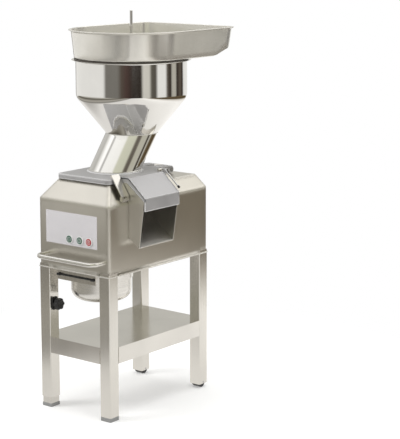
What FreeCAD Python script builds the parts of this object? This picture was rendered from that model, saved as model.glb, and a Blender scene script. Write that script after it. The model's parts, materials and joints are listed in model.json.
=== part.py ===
import FreeCAD, Part
import math
import os

import Sketcher

# Vegetable cutting machine on its stand, with the automatic feed head. All lengths are in millimetres.
# The origin is on the floor below the middle of the machine: +X is the outlet side, -Y the front, +Z up.
os.makedirs("parts", exist_ok=True)
doc = FreeCAD.newDocument("VegetableCutter")
sheet = doc.addObject("Spreadsheet::Sheet", "Sizes")

# Driving sizes
DRIVING = {
    # Clearances
    "running_gap": 0.05,
    "face_gap": 0.1,
    "plug_gap": 0.2,
    "seat_gap": 0.3,
    "free_gap": 0.4,
    "overcut": 5,
    # Body and stand
    "body_width": 314,
    "body_depth": 522,
    "stand_centre_y": -17,
    "sheet_wall": 1.5,
    "leg_size": 45,
    "leg_wall": 2,
    "leg_top": 502,
    "body_bottom": 490,
    "pan_lift": 3,
    "body_bend": 725,
    "rear_top": 770,
    "front_top": 788,
    "side_slope": 42,
    "front_slope": 52,
    "rear_slope": 36,
    "step_gap": 8,
    "step_run": 10,
    "casing_corner": 12,
    "shoulder_corner": 10,
    "bend_corner": 6,
    "hem_height": 6,
    "hem_reach": 2.5,
    "casing_outlet_bottom": 606,
    "mouth_gap": 1,
    "mouth_depth": 10,
    "rail_width": 42,
    "rail_height": 26,
    "post_size": 24,
    "bridge_height": 20,
    "bridge_overlap": 1,
    "pillar_root": 10,
    "pillar_half_depth": 12,
    "bridge_half_depth": 14,
    "shelf_top": 250,
    "shelf_apron": 56,
    "shelf_wall": 2,
    # Feet and rollers
    "tube_foot_gap": 14,
    "foot_corner": 4,
    "foot_plug": 24,
    "level_leg_lift": 20,
    "shoe_height": 12,
    "shoe_inset": 1,
    "shoe_plug": 18,
    "shoe_corner": 3,
    "shoe_bevel": 1.5,
    "level_tube_above_knob": 32,
    "roller_radius": 19,
    "roller_width": 32,
    "roller_edge": 2,
    "axle_radius": 4,
    # Clamp knob
    "knob_z": 363,
    "knob_radius": 21,
    "knob_length": 19,
    "knob_waist": 2,
    "lobe_radius": 6,
    "dip_radius": 5,
    "dip_outset": 1,
    "stud_radius": 5,
    "stud_hole_gap": 1,
    "knob_plate_width": 24,
    "knob_plate_height": 44,
    "knob_plate_thickness": 4,
    "knob_boss_radius": 9,
    "knob_boss_length": 6,
    # Front controls
    "label_inset_left": 35,
    "label_inset_right": 50.5,
    "label_bottom": 580,
    "label_height": 110,
    "label_thickness": 1,
    "button_z": 602,
    "button_radius": 11.5,
    "button_cap": 2.6,
    "button_edge": 1,
    "button_reach": 6.6,
    "button_stem_radius": 3,
    "button_stem": 22,
    "button_hole": 8,
    "bezel_radius": 14,
    "bezel_length": 4,
    "bezel_reach": 5,
    "switch_half_width": 14,
    "switch_half_height": 17,
    "switch_depth": 42,
    "switch_bore": 29.5,
    # Bow handle
    "handle_z": 540,
    "handle_inset_left": 37,
    "handle_inset_right": 21,
    "handle_reach": 55,
    "handle_radius": 7.5,
    "handle_bend": 28,
    "handle_stud_radius": 4,
    "handle_stud": 16,
    "handle_hole": 4.2,
    "washer_radius": 8,
    "washer_thickness": 2,
    "nut_radius": 7.5,
    "nut_height": 6,
    # Drive
    "motor_inset": 140,
    "motor_radius": 86,
    "motor_bottom": 392,
    "motor_top": 596,
    "motor_edge": 6,
    "motor_wall": 8,
    "stator_bore": 51,
    "stator_below": 36,
    "stator_above": 34,
    "end_boss": 22,
    "foot_boss": 20,
    "foot_boss_height": 20,
    "end_floor": 4,
    "end_cap": 12,
    "rotor_shaft_radius": 6,
    "rotor_shaft_foot": 1,
    "rotor_end_gap": 2,
    "gear_module": 1.5,
    "pinion_teeth": 16,
    "wheel_teeth": 64,
    "gear_bottom": 612,
    "gear_width": 14,
    "gear_backlash": 0.12,
    "gear_case_radius": 60,
    "gear_case_wall": 6,
    "gear_case_floor": 8,
    "gear_case_boss": 27,
    "gear_case_boss_height": 8,
    "gear_case_motor_bore": 15,
    "shaft_radius": 10,
    "shaft_foot": 5,
    "shaft_collar": 4,
    "shaft_collar_width": 5,
    "shaft_bevel": 2,
    "shaft_above_disc": 12,
    "bearing_radius": 21,
    "bearing_width": 10,
    "bearing_seat": 14,
    "inner_race": 13.5,
    "outer_race": 17.5,
    "race_step": 1,
    "upper_bearing_lift": 14,
    "lower_bearing_lift": 4,
    "plate_top": 648,
    "plate_thickness": 6,
    "plate_margin": 12,
    "plate_side_margin": 15,
    "plate_slot_margin": 6,
    # Motor cover
    "cover_offset": 3,
    "cover_radius": 103,
    "cover_bottom": 378,
    "cover_shoulder": 41,
    "cover_step": 5,
    "cover_flange": 6,
    "cover_corner": 36,
    "pan_opening_gap": 6,
    "bracket_width": 170,
    "bracket_drop": 36,
    "bracket_start": 12.5,
    "bracket_foot": 8.5,
    "bracket_wall": 2,
    "retainer_z": 472,
    "retainer_inset": 8,
    "retainer_radius": 2.5,
    "retainer_length": 150,
    "retainer_end_radius": 4.5,
    "retainer_end_length": 12,
    "retainer_end_reach": 7,
    # Cutting chamber and discs
    "disc_radius": 95,
    "disc_thickness": 4,
    "disc_top": 782,
    "disc_hub": 20,
    "disc_slot_start": 28,
    "disc_slot_margin": 7,
    "disc_slot_front": 2,
    "disc_slot_rear": 12,
    "blade_start": 29,
    "blade_margin": 8,
    "blade_width": 16,
    "blade_thickness": 1.2,
    "blade_reach": 14.6,
    "blade_lift": 2.9,
    "blade_tilt": 10,
    "ejector_lift": 12,
    "ejector_thickness": 3,
    "ejector_hub": 24,
    "ejector_hub_height": 38,
    "vane_height": 30,
    "vane_half": 2,
    "vane_margin": 3,
    "vane_overlap": 1,
    "disc_nut_height": 19,
    "disc_nut_crown": 14,
    "disc_nut_side": 8,
    "chamber_radius": 99,
    "chamber_wall": 4,
    "chamber_floor": 690,
    "chamber_floor_wall": 6,
    "chamber_neck": 50,
    "chamber_foot": 62,
    "chamber_rib": 27,
    "chamber_step": 12,
    "hub_radius": 22,
    "hub_taper": 2,
    "seal_radius": 16,
    "seal_height": 8,
    "seal_gap": 2,
    "window_start": 40,
    "window_front_margin": 4,
    "window_rear_margin": 2,
    "window_top_margin": 8,
    # Outlet
    "outlet_before": 97,
    "outlet_behind": 81,
    "outlet_floor_inner": 674,
    "outlet_start": 66,
    "chute_reach": 42,
    "chute_lip": 579,
    "chute_floor_wall": 6,
    "chute_lip_bevel": 1,
    "chute_wall": 2,
    "chute_flare": 22.3,
    "cheek_rise": 10.4,
    "cheek_knee_inset": 8.5,
    "cheek_top": 2.2,
    "cheek_lid_gap": 1.5,
    "cheek_below_lid": 3,
    # Feed head
    "lid_bottom": 790,
    "lid_top": 807,
    "lid_overhang": 2.5,
    "lid_inset": 46,
    "lid_behind": 160,
    "lid_corner": 20,
    "lid_collar": 5,
    "lid_collar_height": 3,
    "hood_wall": 4,
    "hood_nose": 69,
    "hood_knee_inset": 2,
    "hood_chin": 748,
    "hood_bottom": 705,
    "hood_root": 17,
    "hood_root_depth": 8,
    "hood_under": 5,
    "hood_edge": 1,
    "hood_chin_drop": 2,
    "hood_rim": 17,
    "hood_rim_nose": 12,
    "rim_root": 2,
    "rim_knee": 6,
    "feed_offset": 13,
    "feed_lean": 89,
    "feed_radius": 88.5,
    "feed_top": 930,
    "feed_mouth_gap": 1,
    "hopper_radius": 190,
    "hopper_flange": 204,
    "hopper_top": 1180,
    "hopper_knee": 1053,
    "hopper_knee_round": 40,
    "hopper_knee_lift": 1,
    "hopper_neck": 1.5,
    # Feeding tray
    "tray_bottom": 1185,
    "tray_top": 1282,
    "tray_radius": 205,
    "tray_foot_radius": 195,
    "tray_reach": 322,
    "tray_back_flare": 8,
    "tray_lip": 8,
    "tray_lip_height": 3,
    "lip_overlap": 0.5,
    "tray_corner": 40,
    "tray_ramp": 112,
    "tray_ramp_rise": 37,
    "tray_ramp_past": 2,
    "tray_collar_gap": 2,
    "tray_collar": 14,
    # Stirring rod
    "rod_radius": 5,
    "rod_top": 1345,
    "rod_tip": 1,
    "rod_collar": 9,
    "rod_collar_height": 10,
    "rod_foot": 26,
    "bridge_gap": 1.1,
    "bridge_half": 6,
    "bridge_drop": 8,
    "bridge_thickness": 7,
    "bridge_corner": 3,
    "bridge_hub": 11,
    "bridge_hub_drop": 12,
    "bridge_hub_rise": 6,
    "stir_bar_level": 82,
    "stir_bar_radius": 4,
    "stir_bar_span": 190,
    "tine_radius": 3.9,
    "tine_place": 91,
    "tine_height": 60,
    # Hinge
    "hinge_inset": 72,
    "hinge_z": 784.5,
    "hinge_radius": 14,
    "hinge_half": 18,
    "hinge_side_gap": 1,
    "hinge_pin_radius": 5,
    "hinge_pin_overhang": 2,
    "lug_width": 34,
    "arm_root": 12,
    "arm_crown": 12,
    "arm_inner": 8,
    "arm_inner_rise": 4,
    "arm_foot": 22,
    # Latch and lever
    "latch_inset": 2,
    "latch_rise": 15.6,
    "latch_front": 65,
    "latch_width": 36,
    "latch_pin_radius": 3,
    "latch_boss_radius": 5,
    "latch_eye_radius": 5.5,
    "latch_eye": 9.6,
    "latch_base": 6.9,
    "latch_foot_wall": 2,
    "latch_foot_back": 7,
    "latch_foot_front": 14,
    "latch_cheek": 10,
    "latch_cheek_low": 3,
    "latch_cheek_inset": 0.2,
    "latch_cheek_root": 5.4,
    "latch_strap_length": 89,
    "latch_strap_wall": 3.5,
    "latch_strap_level": 6.2,
    "latch_strap_root": 8,
    "latch_hook_wall": 5,
    "latch_hook_low": 3,
    "latch_hook_overlap": 4,
    "catch_inset": 14,
    "catch_gap": 6,
    "catch_lift": 4.5,
    "catch_wire": 3,
    "catch_eye": 4,
    "catch_pin_radius": 2,
    "catch_bend": 15,
    "catch_run": 70,
    "catch_fall": 49.2,
    "catch_end_run": 2.4,
    "catch_end_rise": 2.2,
    "catch_tip_run": 1.4,
    "catch_tip_rise": 0.9,
    "catch_tip_radius": 4,
    "catch_tip_length": 9,
    "catch_tip_edge": 1.5,
    "catch_post": 4.5,
    "catch_post_start": 18,
    "catch_post_depth": 12,
    # Electrics
    "box_inset": 184,
    "box_inset_left": 57,
    "box_inset_right": 67,
    "box_depth": 90,
    "box_height": 100,
    "gland_inset": 67,
    "gland_z": 560,
    "gland_hole": 10,
    "gland_radius": 14,
    "gland_neck": 9.8,
    "gland_bore": 5,
    "gland_inside": 8,
    "gland_outside": 14,
}
# How far each button lies from the right edge of the front plate
BUTTONS = {"one": 120.5, "two": 74.5, "stop": 33.5}
# Gear form: pressure angle, tooth heights as shares of the module, points on each flank; lobes of the knob
PRESSURE = math.radians(20)
ROOT_SHARE = 1.25
TIP_SHARE = 0.95
FLANK_POINTS = 4
KNOB_LOBES = 6
# Lengths under this count as nothing when edges are picked
TINY = 0.01


class Size:
    """A number together with the sheet formula it comes from, so that one expression gives both."""

    def __init__(self, value, text):
        self.value = float(value)
        self.text = text

    def __add__(self, other):
        other = size(other)
        return Size(self.value + other.value, f"({self.text} + {other.text})")

    def __sub__(self, other):
        other = size(other)
        return Size(self.value - other.value, f"({self.text} - {other.text})")

    def __mul__(self, other):
        other = size(other)
        return Size(self.value * other.value, f"({self.text} * {other.text})")

    def __truediv__(self, other):
        other = size(other)
        return Size(self.value / other.value, f"({self.text} / {other.text})")

    def __radd__(self, other):
        return size(other) + self

    def __rsub__(self, other):
        return size(other) - self

    def __rmul__(self, other):
        return size(other) * self

    def __neg__(self):
        return size(0) - self


def size(number):
    if isinstance(number, Size):
        return number
    return Size(number, repr(float(number)))


class Sizes:
    """The driving sizes as attributes, each one also written to its own cell of the sheet."""

    def __init__(self):
        for row, (name, number) in enumerate(DRIVING.items(), start=1):
            sheet.set(f"A{row}", name)
            sheet.set(f"B{row}", str(number))
            sheet.setAlias(f"B{row}", name)
            setattr(self, name, Size(number, f"Sizes.{name}"))


S = Sizes()
doc.recompute()
NODES = []

# Worked-out places
HALF_WIDTH = S.body_width / 2
HALF_DEPTH = S.body_depth / 2
FRONT = S.stand_centre_y - HALF_DEPTH
REAR = S.stand_centre_y + HALF_DEPTH
HALF_LEG = S.leg_size / 2
LEG_X = HALF_WIDTH - HALF_LEG
MOTOR_Y = FRONT + S.motor_inset
DISC_Y = MOTOR_Y + S.gear_module * (S.pinion_teeth + S.wheel_teeth) / 2
OUTLET_FRONT = DISC_Y - S.outlet_before
OUTLET_REAR = DISC_Y + S.outlet_behind
OUTLET_MIDDLE = (OUTLET_FRONT + OUTLET_REAR) / 2
OUTLET_WIDTH = OUTLET_REAR - OUTLET_FRONT
LID_HALF = HALF_WIDTH - S.side_slope + S.lid_overhang
LID_FRONT = FRONT + S.lid_inset
LID_REAR = DISC_Y + S.lid_behind
CREST = S.lid_top + S.lid_collar_height
FEED_Y = DISC_Y + S.feed_offset
HOPPER_Y = FEED_Y + S.feed_lean
HINGE_Y = REAR - S.hinge_inset
HINGE_PLACE = (HINGE_Y, S.hinge_z)
LABEL_RIGHT = HALF_WIDTH - S.label_inset_right
HANDLE_LEFT = S.handle_inset_left - HALF_WIDTH
HANDLE_RIGHT = HALF_WIDTH - S.handle_inset_right
PLATE_BOTTOM = S.plate_top - S.plate_thickness
PAN_LOW = S.body_bottom + S.pan_lift
CHAMBER_OUTSIDE = S.chamber_radius + S.chamber_wall
GEAR_TOP = S.gear_bottom + S.gear_width
SHAFT_BORE = S.shaft_radius + S.running_gap
ROTOR_BORE = S.rotor_shaft_radius + S.running_gap
ROD_BORE = S.rod_radius + S.running_gap
GLAND_X = HALF_WIDTH - S.gland_inset


def bind(thing, prop, number):
    thing.setExpression(prop, size(number).text)


def place(thing, x=0, y=0, z=0):
    for axis, number in zip("xyz", (x, y, z)):
        bind(thing, f"Placement.Base.{axis}", number)


def node(thing, name):
    """Marks a document object as a finished sub-part with its own name."""
    thing.Label = name
    NODES.append(thing)
    return thing


def new_body(name, x=0, y=0, z=0):
    body = doc.addObject("PartDesign::Body", name)
    place(body, x, y, z)
    return node(body, name)


def new_sketch(body, plane, height=0):
    """A sketch on one of the body's origin planes, moved along the plane's normal by a bound height."""
    sketch = body.newObject("Sketcher::SketchObject", "Outline")
    role = f"{plane}_Plane"
    support = [f for f in body.Origin.OriginFeatures if f.Role == role]
    sketch.AttachmentSupport = [(support[0], "")]
    sketch.MapMode = "FlatFace"
    bind(sketch, "AttachmentOffset.Base.z", height)
    return sketch


def tie(sketch, geometry, point, x, y):
    """Ties one point of the sketch to a bound place, measured from the sketch's origin."""
    for kind, number in (("DistanceX", x), ("DistanceY", y)):
        number = size(number)
        sketch.addConstraint(Sketcher.Constraint(kind, -1, 1, geometry, point, number.value))
        sketch.setExpression(f"Constraints[{sketch.ConstraintCount - 1}]", number.text)


def tie_radius(sketch, geometry, radius):
    sketch.addConstraint(Sketcher.Constraint("Radius", geometry, radius.value))
    sketch.setExpression(f"Constraints[{sketch.ConstraintCount - 1}]", radius.text)


def segment(sketch, x0, y0, x1, y1):
    start = FreeCAD.Vector(x0, y0, 0)
    end = FreeCAD.Vector(x1, y1, 0)
    return sketch.addGeometry(Part.LineSegment(start, end), False)


def arc(sketch, x, y, radius, start, end):
    whole = Part.Circle(FreeCAD.Vector(x, y, 0), FreeCAD.Vector(0, 0, 1), radius)
    return sketch.addGeometry(Part.ArcOfCircle(whole, start, end), False)


def chain(sketch, parts):
    """Joins each curve of a closed chain to the next, tangent where they meet."""
    for now, after in zip(parts, parts[1:] + parts[:1]):
        sketch.addConstraint(Sketcher.Constraint("Tangent", now, 2, after, 1))


def outline(sketch, points):
    """A closed outline of straight lines through bound points."""
    points = [(size(x), size(y)) for x, y in points]
    first = sketch.GeometryCount
    count = len(points)
    for (x, y), (nx, ny) in zip(points, points[1:] + points[:1]):
        segment(sketch, x.value, y.value, nx.value, ny.value)
    for i in range(count):
        after = first + (i + 1) % count
        sketch.addConstraint(Sketcher.Constraint("Coincident", first + i, 2, after, 1))
    for i, (x, y) in enumerate(points):
        tie(sketch, first + i, 1, x, y)
    return sketch


def rectangle(sketch, x0, y0, x1, y1):
    return outline(sketch, [(x0, y0), (x1, y0), (x1, y1), (x0, y1)])


def ring(sketch, half_x, half_y, wall):
    """Two rectangles about the sketch's origin, one a wall inside the other."""
    rectangle(sketch, -half_x, -half_y, half_x, half_y)
    return rectangle(sketch, wall - half_x, wall - half_y, half_x - wall, half_y - wall)


def circle(sketch, radius, x=0, y=0):
    radius = size(radius)
    centre = FreeCAD.Vector(size(x).value, size(y).value, 0)
    index = sketch.addGeometry(Part.Circle(centre, FreeCAD.Vector(0, 0, 1), radius.value), False)
    tie_radius(sketch, index, radius)
    tie(sketch, index, 3, x, y)
    return sketch


def stadium(sketch, radius, y0, y1):
    """Two half circles joined by straight sides, with centres at two places along the sketch's Y axis."""
    r, low, high = radius.value, y0.value, y1.value
    top = arc(sketch, 0, high, r, 0, math.pi)
    left = segment(sketch, -r, high, -r, low)
    bottom = arc(sketch, 0, low, r, math.pi, 2 * math.pi)
    right = segment(sketch, r, low, r, high)
    chain(sketch, [top, left, bottom, right])
    tie(sketch, top, 3, 0, y1)
    tie(sketch, bottom, 3, 0, y0)
    tie_radius(sketch, top, radius)
    return sketch


def horseshoe(sketch, radius, back, corner):
    """A half circle round the origin at the front, with straight sides to a back with round corners."""
    r, y, c = radius.value, back.value, corner.value
    front = arc(sketch, 0, 0, r, math.pi, 2 * math.pi)
    right = segment(sketch, r, 0, r, y - c)
    right_corner = arc(sketch, r - c, y - c, c, 0, math.pi / 2)
    rear = segment(sketch, r - c, y, c - r, y)
    left_corner = arc(sketch, c - r, y - c, c, math.pi / 2, math.pi)
    left = segment(sketch, -r, y - c, -r, 0)
    chain(sketch, [front, right, right_corner, rear, left_corner, left])
    tie(sketch, front, 3, 0, 0)
    tie_radius(sketch, front, radius)
    tie_radius(sketch, right_corner, corner)
    tie_radius(sketch, left_corner, corner)
    sketch.addConstraint(Sketcher.Constraint("Horizontal", rear))
    sketch.addConstraint(Sketcher.Constraint("DistanceY", -1, 1, rear, 1, y))
    sketch.setExpression(f"Constraints[{sketch.ConstraintCount - 1}]", back.text)
    return sketch


def pad(body, sketch, length, flip=False, both=False):
    feature = body.newObject("PartDesign::Pad", "Pad")
    feature.Profile = sketch
    bind(feature, "Length", length)
    feature.Reversed = flip
    feature.Midplane = both
    sketch.Visibility = False
    return feature


def pocket(body, sketch, length=None, flip=False, both=False):
    """Cuts against the sketch's normal, or along it when flipped; with no length it goes right through."""
    feature = body.newObject("PartDesign::Pocket", "Pocket")
    feature.Profile = sketch
    if length is None:
        feature.Type = "ThroughAll"
    else:
        bind(feature, "Length", length)
    feature.Reversed = flip
    feature.Midplane = both
    sketch.Visibility = False
    return feature


def turn(body, points):
    """A solid of revolution about the body's Z axis, from an outline of (radius, height) points."""
    sketch = outline(new_sketch(body, "XZ"), points)
    feature = body.newObject("PartDesign::Revolution", "Turned")
    feature.Profile = sketch
    feature.ReferenceAxis = (sketch, ["V_Axis"])
    feature.Angle = 360
    sketch.Visibility = False
    return feature


def loft(body, kind, low, high):
    feature = body.newObject(f"PartDesign::{kind}", "Loft")
    feature.Profile = low
    feature.Sections = [high]
    return feature


def repeat(body, feature, axis_sketch, count):
    """Repeats a feature all round the normal of a sketch."""
    pattern = body.newObject("PartDesign::PolarPattern", "Repeat")
    pattern.Originals = [feature]
    pattern.Axis = (axis_sketch, ["N_Axis"])
    pattern.Angle = 360
    pattern.Occurrences = count
    body.Tip = pattern
    return pattern


def soften(body, radius, test, kind="Fillet"):
    """Rounds or bevels the edges of the body's newest feature that pass a test."""
    doc.recompute()
    names = []
    for number, edge in enumerate(body.Tip.Shape.Edges, start=1):
        if test(edge.BoundBox):
            names.append(f"Edge{number}")
    base = body.Tip
    feature = body.newObject(f"PartDesign::{kind}", "Softened")
    feature.Base = (base, names)
    bind(feature, "Radius" if kind == "Fillet" else "Size", radius)
    return feature


def upright(edge):
    return edge.XLength < TINY and edge.YLength < TINY and edge.ZLength > 1


def level_at(height):
    """A test for level edges that lie at one height."""
    height = size(height).value
    return lambda edge: abs(edge.ZMin - height) < TINY and edge.ZLength < TINY


def lengthwise(edge):
    return edge.YLength < TINY and edge.ZLength < TINY


def hollow(body, wall):
    """Makes the body a shell of the given wall, open at its lowest face."""
    doc.recompute()
    names = []
    for number, face in enumerate(body.Tip.Shape.Faces, start=1):
        if face.BoundBox.ZMax < TINY:
            names.append(f"Face{number}")
    base = body.Tip
    feature = body.newObject("PartDesign::Thickness", "Shell")
    feature.Base = (base, names)
    bind(feature, "Value", wall)
    feature.Reversed = True
    return feature


def cylinder(name, radius, length, x, y, z, along):
    """A cylinder that starts at a place and runs along the X or the Y axis."""
    thing = doc.addObject("Part::Cylinder", name)
    bind(thing, "Radius", radius)
    bind(thing, "Height", length)
    if along == "x":
        turned = FreeCAD.Rotation(FreeCAD.Vector(0, 1, 0), 90)
    else:
        turned = FreeCAD.Rotation(FreeCAD.Vector(1, 0, 0), -90)
    thing.Placement = FreeCAD.Placement(FreeCAD.Vector(0, 0, 0), turned)
    place(thing, x, y, z)
    return thing


def box(name, x0, y0, z0, x1, y1, z1):
    thing = doc.addObject("Part::Box", name)
    for prop, low, high in (("Length", x0, x1), ("Width", y0, y1), ("Height", z0, z1)):
        bind(thing, prop, size(high) - low)
    place(thing, x0, y0, z0)
    return thing


def joined(name, things):
    thing = doc.addObject("Part::MultiFuse", name)
    thing.Shapes = things
    thing.Refine = True
    return thing


def carved(name, base, tool):
    thing = doc.addObject("Part::Cut", name)
    thing.Base = base
    thing.Tool = tool
    return thing


def group(name, things):
    """Several equal solids that share one node."""
    thing = doc.addObject("Part::Compound", name)
    thing.Links = things
    return node(thing, name)


def shaped(name, shape):
    thing = doc.addObject("Part::Feature", name)
    thing.Shape = shape
    return node(thing, name)


# Stand
def make_legs():
    """Four square tubes; the rear pair is bored for the roller axles, the front left one for the clamp."""
    inner = HALF_LEG - S.leg_wall
    for end, y in (("front", FRONT + HALF_LEG), ("rear", REAR - HALF_LEG)):
        for side, x in (("left", -LEG_X), ("right", LEG_X)):
            name = f"leg_{end}_{side}"
            foot = S.tube_foot_gap
            if name == "leg_front_left":
                foot = S.tube_foot_gap + S.level_leg_lift
            length = S.leg_top - foot
            body = new_body(name, x, y, foot)
            pad(body, rectangle(new_sketch(body, "XY"), -HALF_LEG, -HALF_LEG, HALF_LEG, HALF_LEG), length)
            soften(body, S.leg_wall * 2, upright)
            pocket(body, rectangle(new_sketch(body, "XY", length), -inner, -inner, inner, inner))
            if end == "rear":
                hole = circle(new_sketch(body, "YZ"), S.axle_radius, 0, S.roller_radius - foot)
                pocket(body, hole, both=True)
            if name == "leg_front_left":
                hole = new_sketch(body, "YZ", inner - S.overcut)
                circle(hole, S.stud_radius + S.stud_hole_gap, 0, S.knob_z - foot)
                pocket(body, hole, S.leg_wall + S.overcut * 2, flip=True)


def notched(x, y, corner):
    """Points of a rectangle with a square notch at each corner, measured from its middle."""
    return [
        (corner - x, -y),
        (x - corner, -y),
        (x - corner, corner - y),
        (x, corner - y),
        (x, y - corner),
        (x - corner, y - corner),
        (x - corner, y),
        (corner - x, y),
        (corner - x, y - corner),
        (-x, y - corner),
        (-x, corner - y),
        (corner - x, corner - y),
    ]


def make_shelf():
    body = new_body("shelf", 0, S.stand_centre_y, S.shelf_top - S.shelf_apron)
    sketch = outline(new_sketch(body, "XY"), notched(HALF_WIDTH, HALF_DEPTH, S.leg_size))
    pad(body, sketch, S.shelf_apron)
    hollow(body, S.shelf_wall)


def make_base_frame():
    """Folded channels round the top of the legs, four posts for the chassis plate and the hinge pillar."""
    body = new_body("base_frame", 0, S.stand_centre_y, S.leg_top)
    x = HALF_WIDTH - S.sheet_wall - S.face_gap
    y = HALF_DEPTH - S.sheet_wall - S.face_gap
    rail = S.rail_width
    wall = S.leg_wall
    pad(body, ring(new_sketch(body, "XY"), x, y, rail), S.rail_height)
    outer = x.value
    soften(body, S.casing_corner, lambda e: upright(e) and abs(abs(e.XMin) - outer) < TINY)
    channel = ring(new_sketch(body, "XY"), x - wall, y - wall, rail - wall * 2)
    pocket(body, channel, S.rail_height - wall, flip=True)
    post = S.post_size
    post_x = x - rail
    posts = new_sketch(body, "XY", S.rail_height - wall)
    for row in (post - y, y - post * 2):
        rectangle(posts, post_x, row, post_x + post, row + post)
        rectangle(posts, -post_x - post, row, -post_x, row + post)
    pad(body, posts, PLATE_BOTTOM - S.leg_top - S.rail_height + wall)
    middle = HINGE_Y - S.stand_centre_y
    span = post_x + S.bridge_overlap
    deep = S.bridge_half_depth
    pad(body, rectangle(new_sketch(body, "XY"), -span, middle - deep, span, middle + deep), S.bridge_height)
    deep = S.pillar_half_depth
    pillar = new_sketch(body, "XY", S.pillar_root)
    rectangle(pillar, -S.hinge_half, middle - deep, S.hinge_half, middle + deep)
    pad(body, pillar, S.rear_top - S.sheet_wall - S.leg_top - S.pillar_root)


def make_casing():
    """The stainless shell: straight walls, sloped shoulders, a lower rear top, a hem and its openings."""
    body = new_body("casing", 0, S.stand_centre_y, S.body_bottom)
    bend = S.body_bend - S.body_bottom
    top = S.front_top - S.body_bottom
    past = S.overcut
    pad(body, rectangle(new_sketch(body, "XY"), -HALF_WIDTH, -HALF_DEPTH, HALF_WIDTH, HALF_DEPTH), bend)
    low = rectangle(new_sketch(body, "XY", bend), -HALF_WIDTH, -HALF_DEPTH, HALF_WIDTH, HALF_DEPTH)
    high_x = HALF_WIDTH - S.side_slope
    high = new_sketch(body, "XY", top)
    rectangle(high, -high_x, S.front_slope - HALF_DEPTH, high_x, HALF_DEPTH - S.rear_slope)
    loft(body, "AdditiveLoft", low, high)
    step = LID_REAR + S.step_gap - S.stand_centre_y
    drop = S.rear_top - S.body_bottom
    rear = HALF_DEPTH + past
    cut = new_sketch(body, "YZ")
    outline(cut, [(step, top + 1), (step + S.step_run, drop), (rear, drop), (rear, top + 1)])
    pocket(body, cut, both=True)
    half = HALF_WIDTH.value - 1
    level = bend.value
    soften(body, S.casing_corner, lambda e: upright(e) and abs(e.XMax) > half)
    soften(body, S.shoulder_corner, lambda e: e.ZMin > level - 1 and min(e.XLength, e.YLength, e.ZLength) > 5)
    soften(body, S.bend_corner, lambda e: abs(e.ZMin - level) < 3 and e.ZLength < 3)
    hollow(body, S.sheet_wall)
    reach = S.hem_reach
    hem = ring(new_sketch(body, "XY"), HALF_WIDTH + reach, HALF_DEPTH + reach, reach + S.sheet_wall)
    pad(body, hem, S.hem_height)
    notches = new_sketch(body, "XY")
    near_x, far_x = HALF_WIDTH - S.leg_size, HALF_WIDTH + reach + past
    near_y, far_y = HALF_DEPTH - S.leg_size, HALF_DEPTH + reach + past
    for sx in (-1, 1):
        for sy in (-1, 1):
            rectangle(notches, sx * near_x, sy * near_y, sx * far_x, sy * far_y)
    pocket(body, notches, S.leg_top - S.body_bottom, flip=True)
    mouth = new_sketch(body, "XY", top + past)
    circle(mouth, CHAMBER_OUTSIDE + S.mouth_gap, 0, DISC_Y - S.stand_centre_y)
    pocket(body, mouth, S.mouth_depth + past)
    outlet = new_sketch(body, "YZ", HALF_WIDTH - S.side_slope)
    middle = S.stand_centre_y
    sill = S.casing_outlet_bottom - S.body_bottom
    rectangle(outlet, OUTLET_FRONT - middle, sill, OUTLET_REAR - middle, top + past)
    pocket(body, outlet, S.side_slope + past, flip=True)
    holes = new_sketch(body, "XZ", HALF_DEPTH + past)
    for from_edge in BUTTONS.values():
        circle(holes, S.button_hole, LABEL_RIGHT - from_edge, S.button_z - S.body_bottom)
    for x in (HANDLE_LEFT, HANDLE_RIGHT):
        circle(holes, S.handle_hole, x, S.handle_z - S.body_bottom)
    pocket(body, holes, S.sheet_wall * 2 + past)
    gland = new_sketch(body, "XZ", -HALF_DEPTH - past)
    circle(gland, S.gland_hole, GLAND_X, S.gland_z - S.body_bottom)
    pocket(body, gland, S.sheet_wall * 2 + past, flip=True)


def make_belly_pan():
    """Closes the casing underneath, with a round opening for the motor and its cover."""
    body = new_body("belly_pan", 0, S.stand_centre_y, PAN_LOW)
    inset = S.sheet_wall + S.face_gap
    sketch = outline(new_sketch(body, "XY"), notched(HALF_WIDTH - inset, HALF_DEPTH - inset, S.leg_size))
    circle(sketch, S.motor_radius + S.pan_opening_gap, 0, MOTOR_Y - S.stand_centre_y)
    pad(body, sketch, S.sheet_wall)


def make_chassis_plate():
    body = new_body("chassis_plate", 0, 0, PLATE_BOTTOM)
    front = FRONT + S.plate_margin
    rear = REAR - S.plate_margin
    side = HALF_WIDTH - S.plate_side_margin
    slot_front = OUTLET_FRONT - S.plate_slot_margin
    slot_rear = OUTLET_REAR + S.plate_slot_margin
    sketch = new_sketch(body, "XY")
    outline(
        sketch,
        [
            (-side, front),
            (side, front),
            (side, slot_front),
            (S.disc_radius, slot_front),
            (S.disc_radius, slot_rear),
            (side, slot_rear),
            (side, rear),
            (-side, rear),
        ],
    )
    circle(sketch, S.shaft_radius * 2, 0, DISC_Y)
    wide = S.hinge_half + S.hinge_side_gap
    deep = S.pillar_half_depth + S.hinge_side_gap
    rectangle(sketch, -wide, HINGE_Y - deep, wide, HINGE_Y + deep)
    pad(body, sketch, S.plate_thickness)


def square(body, half, height=0):
    return rectangle(new_sketch(body, "XY", height), -half, -half, half, half)


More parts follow.
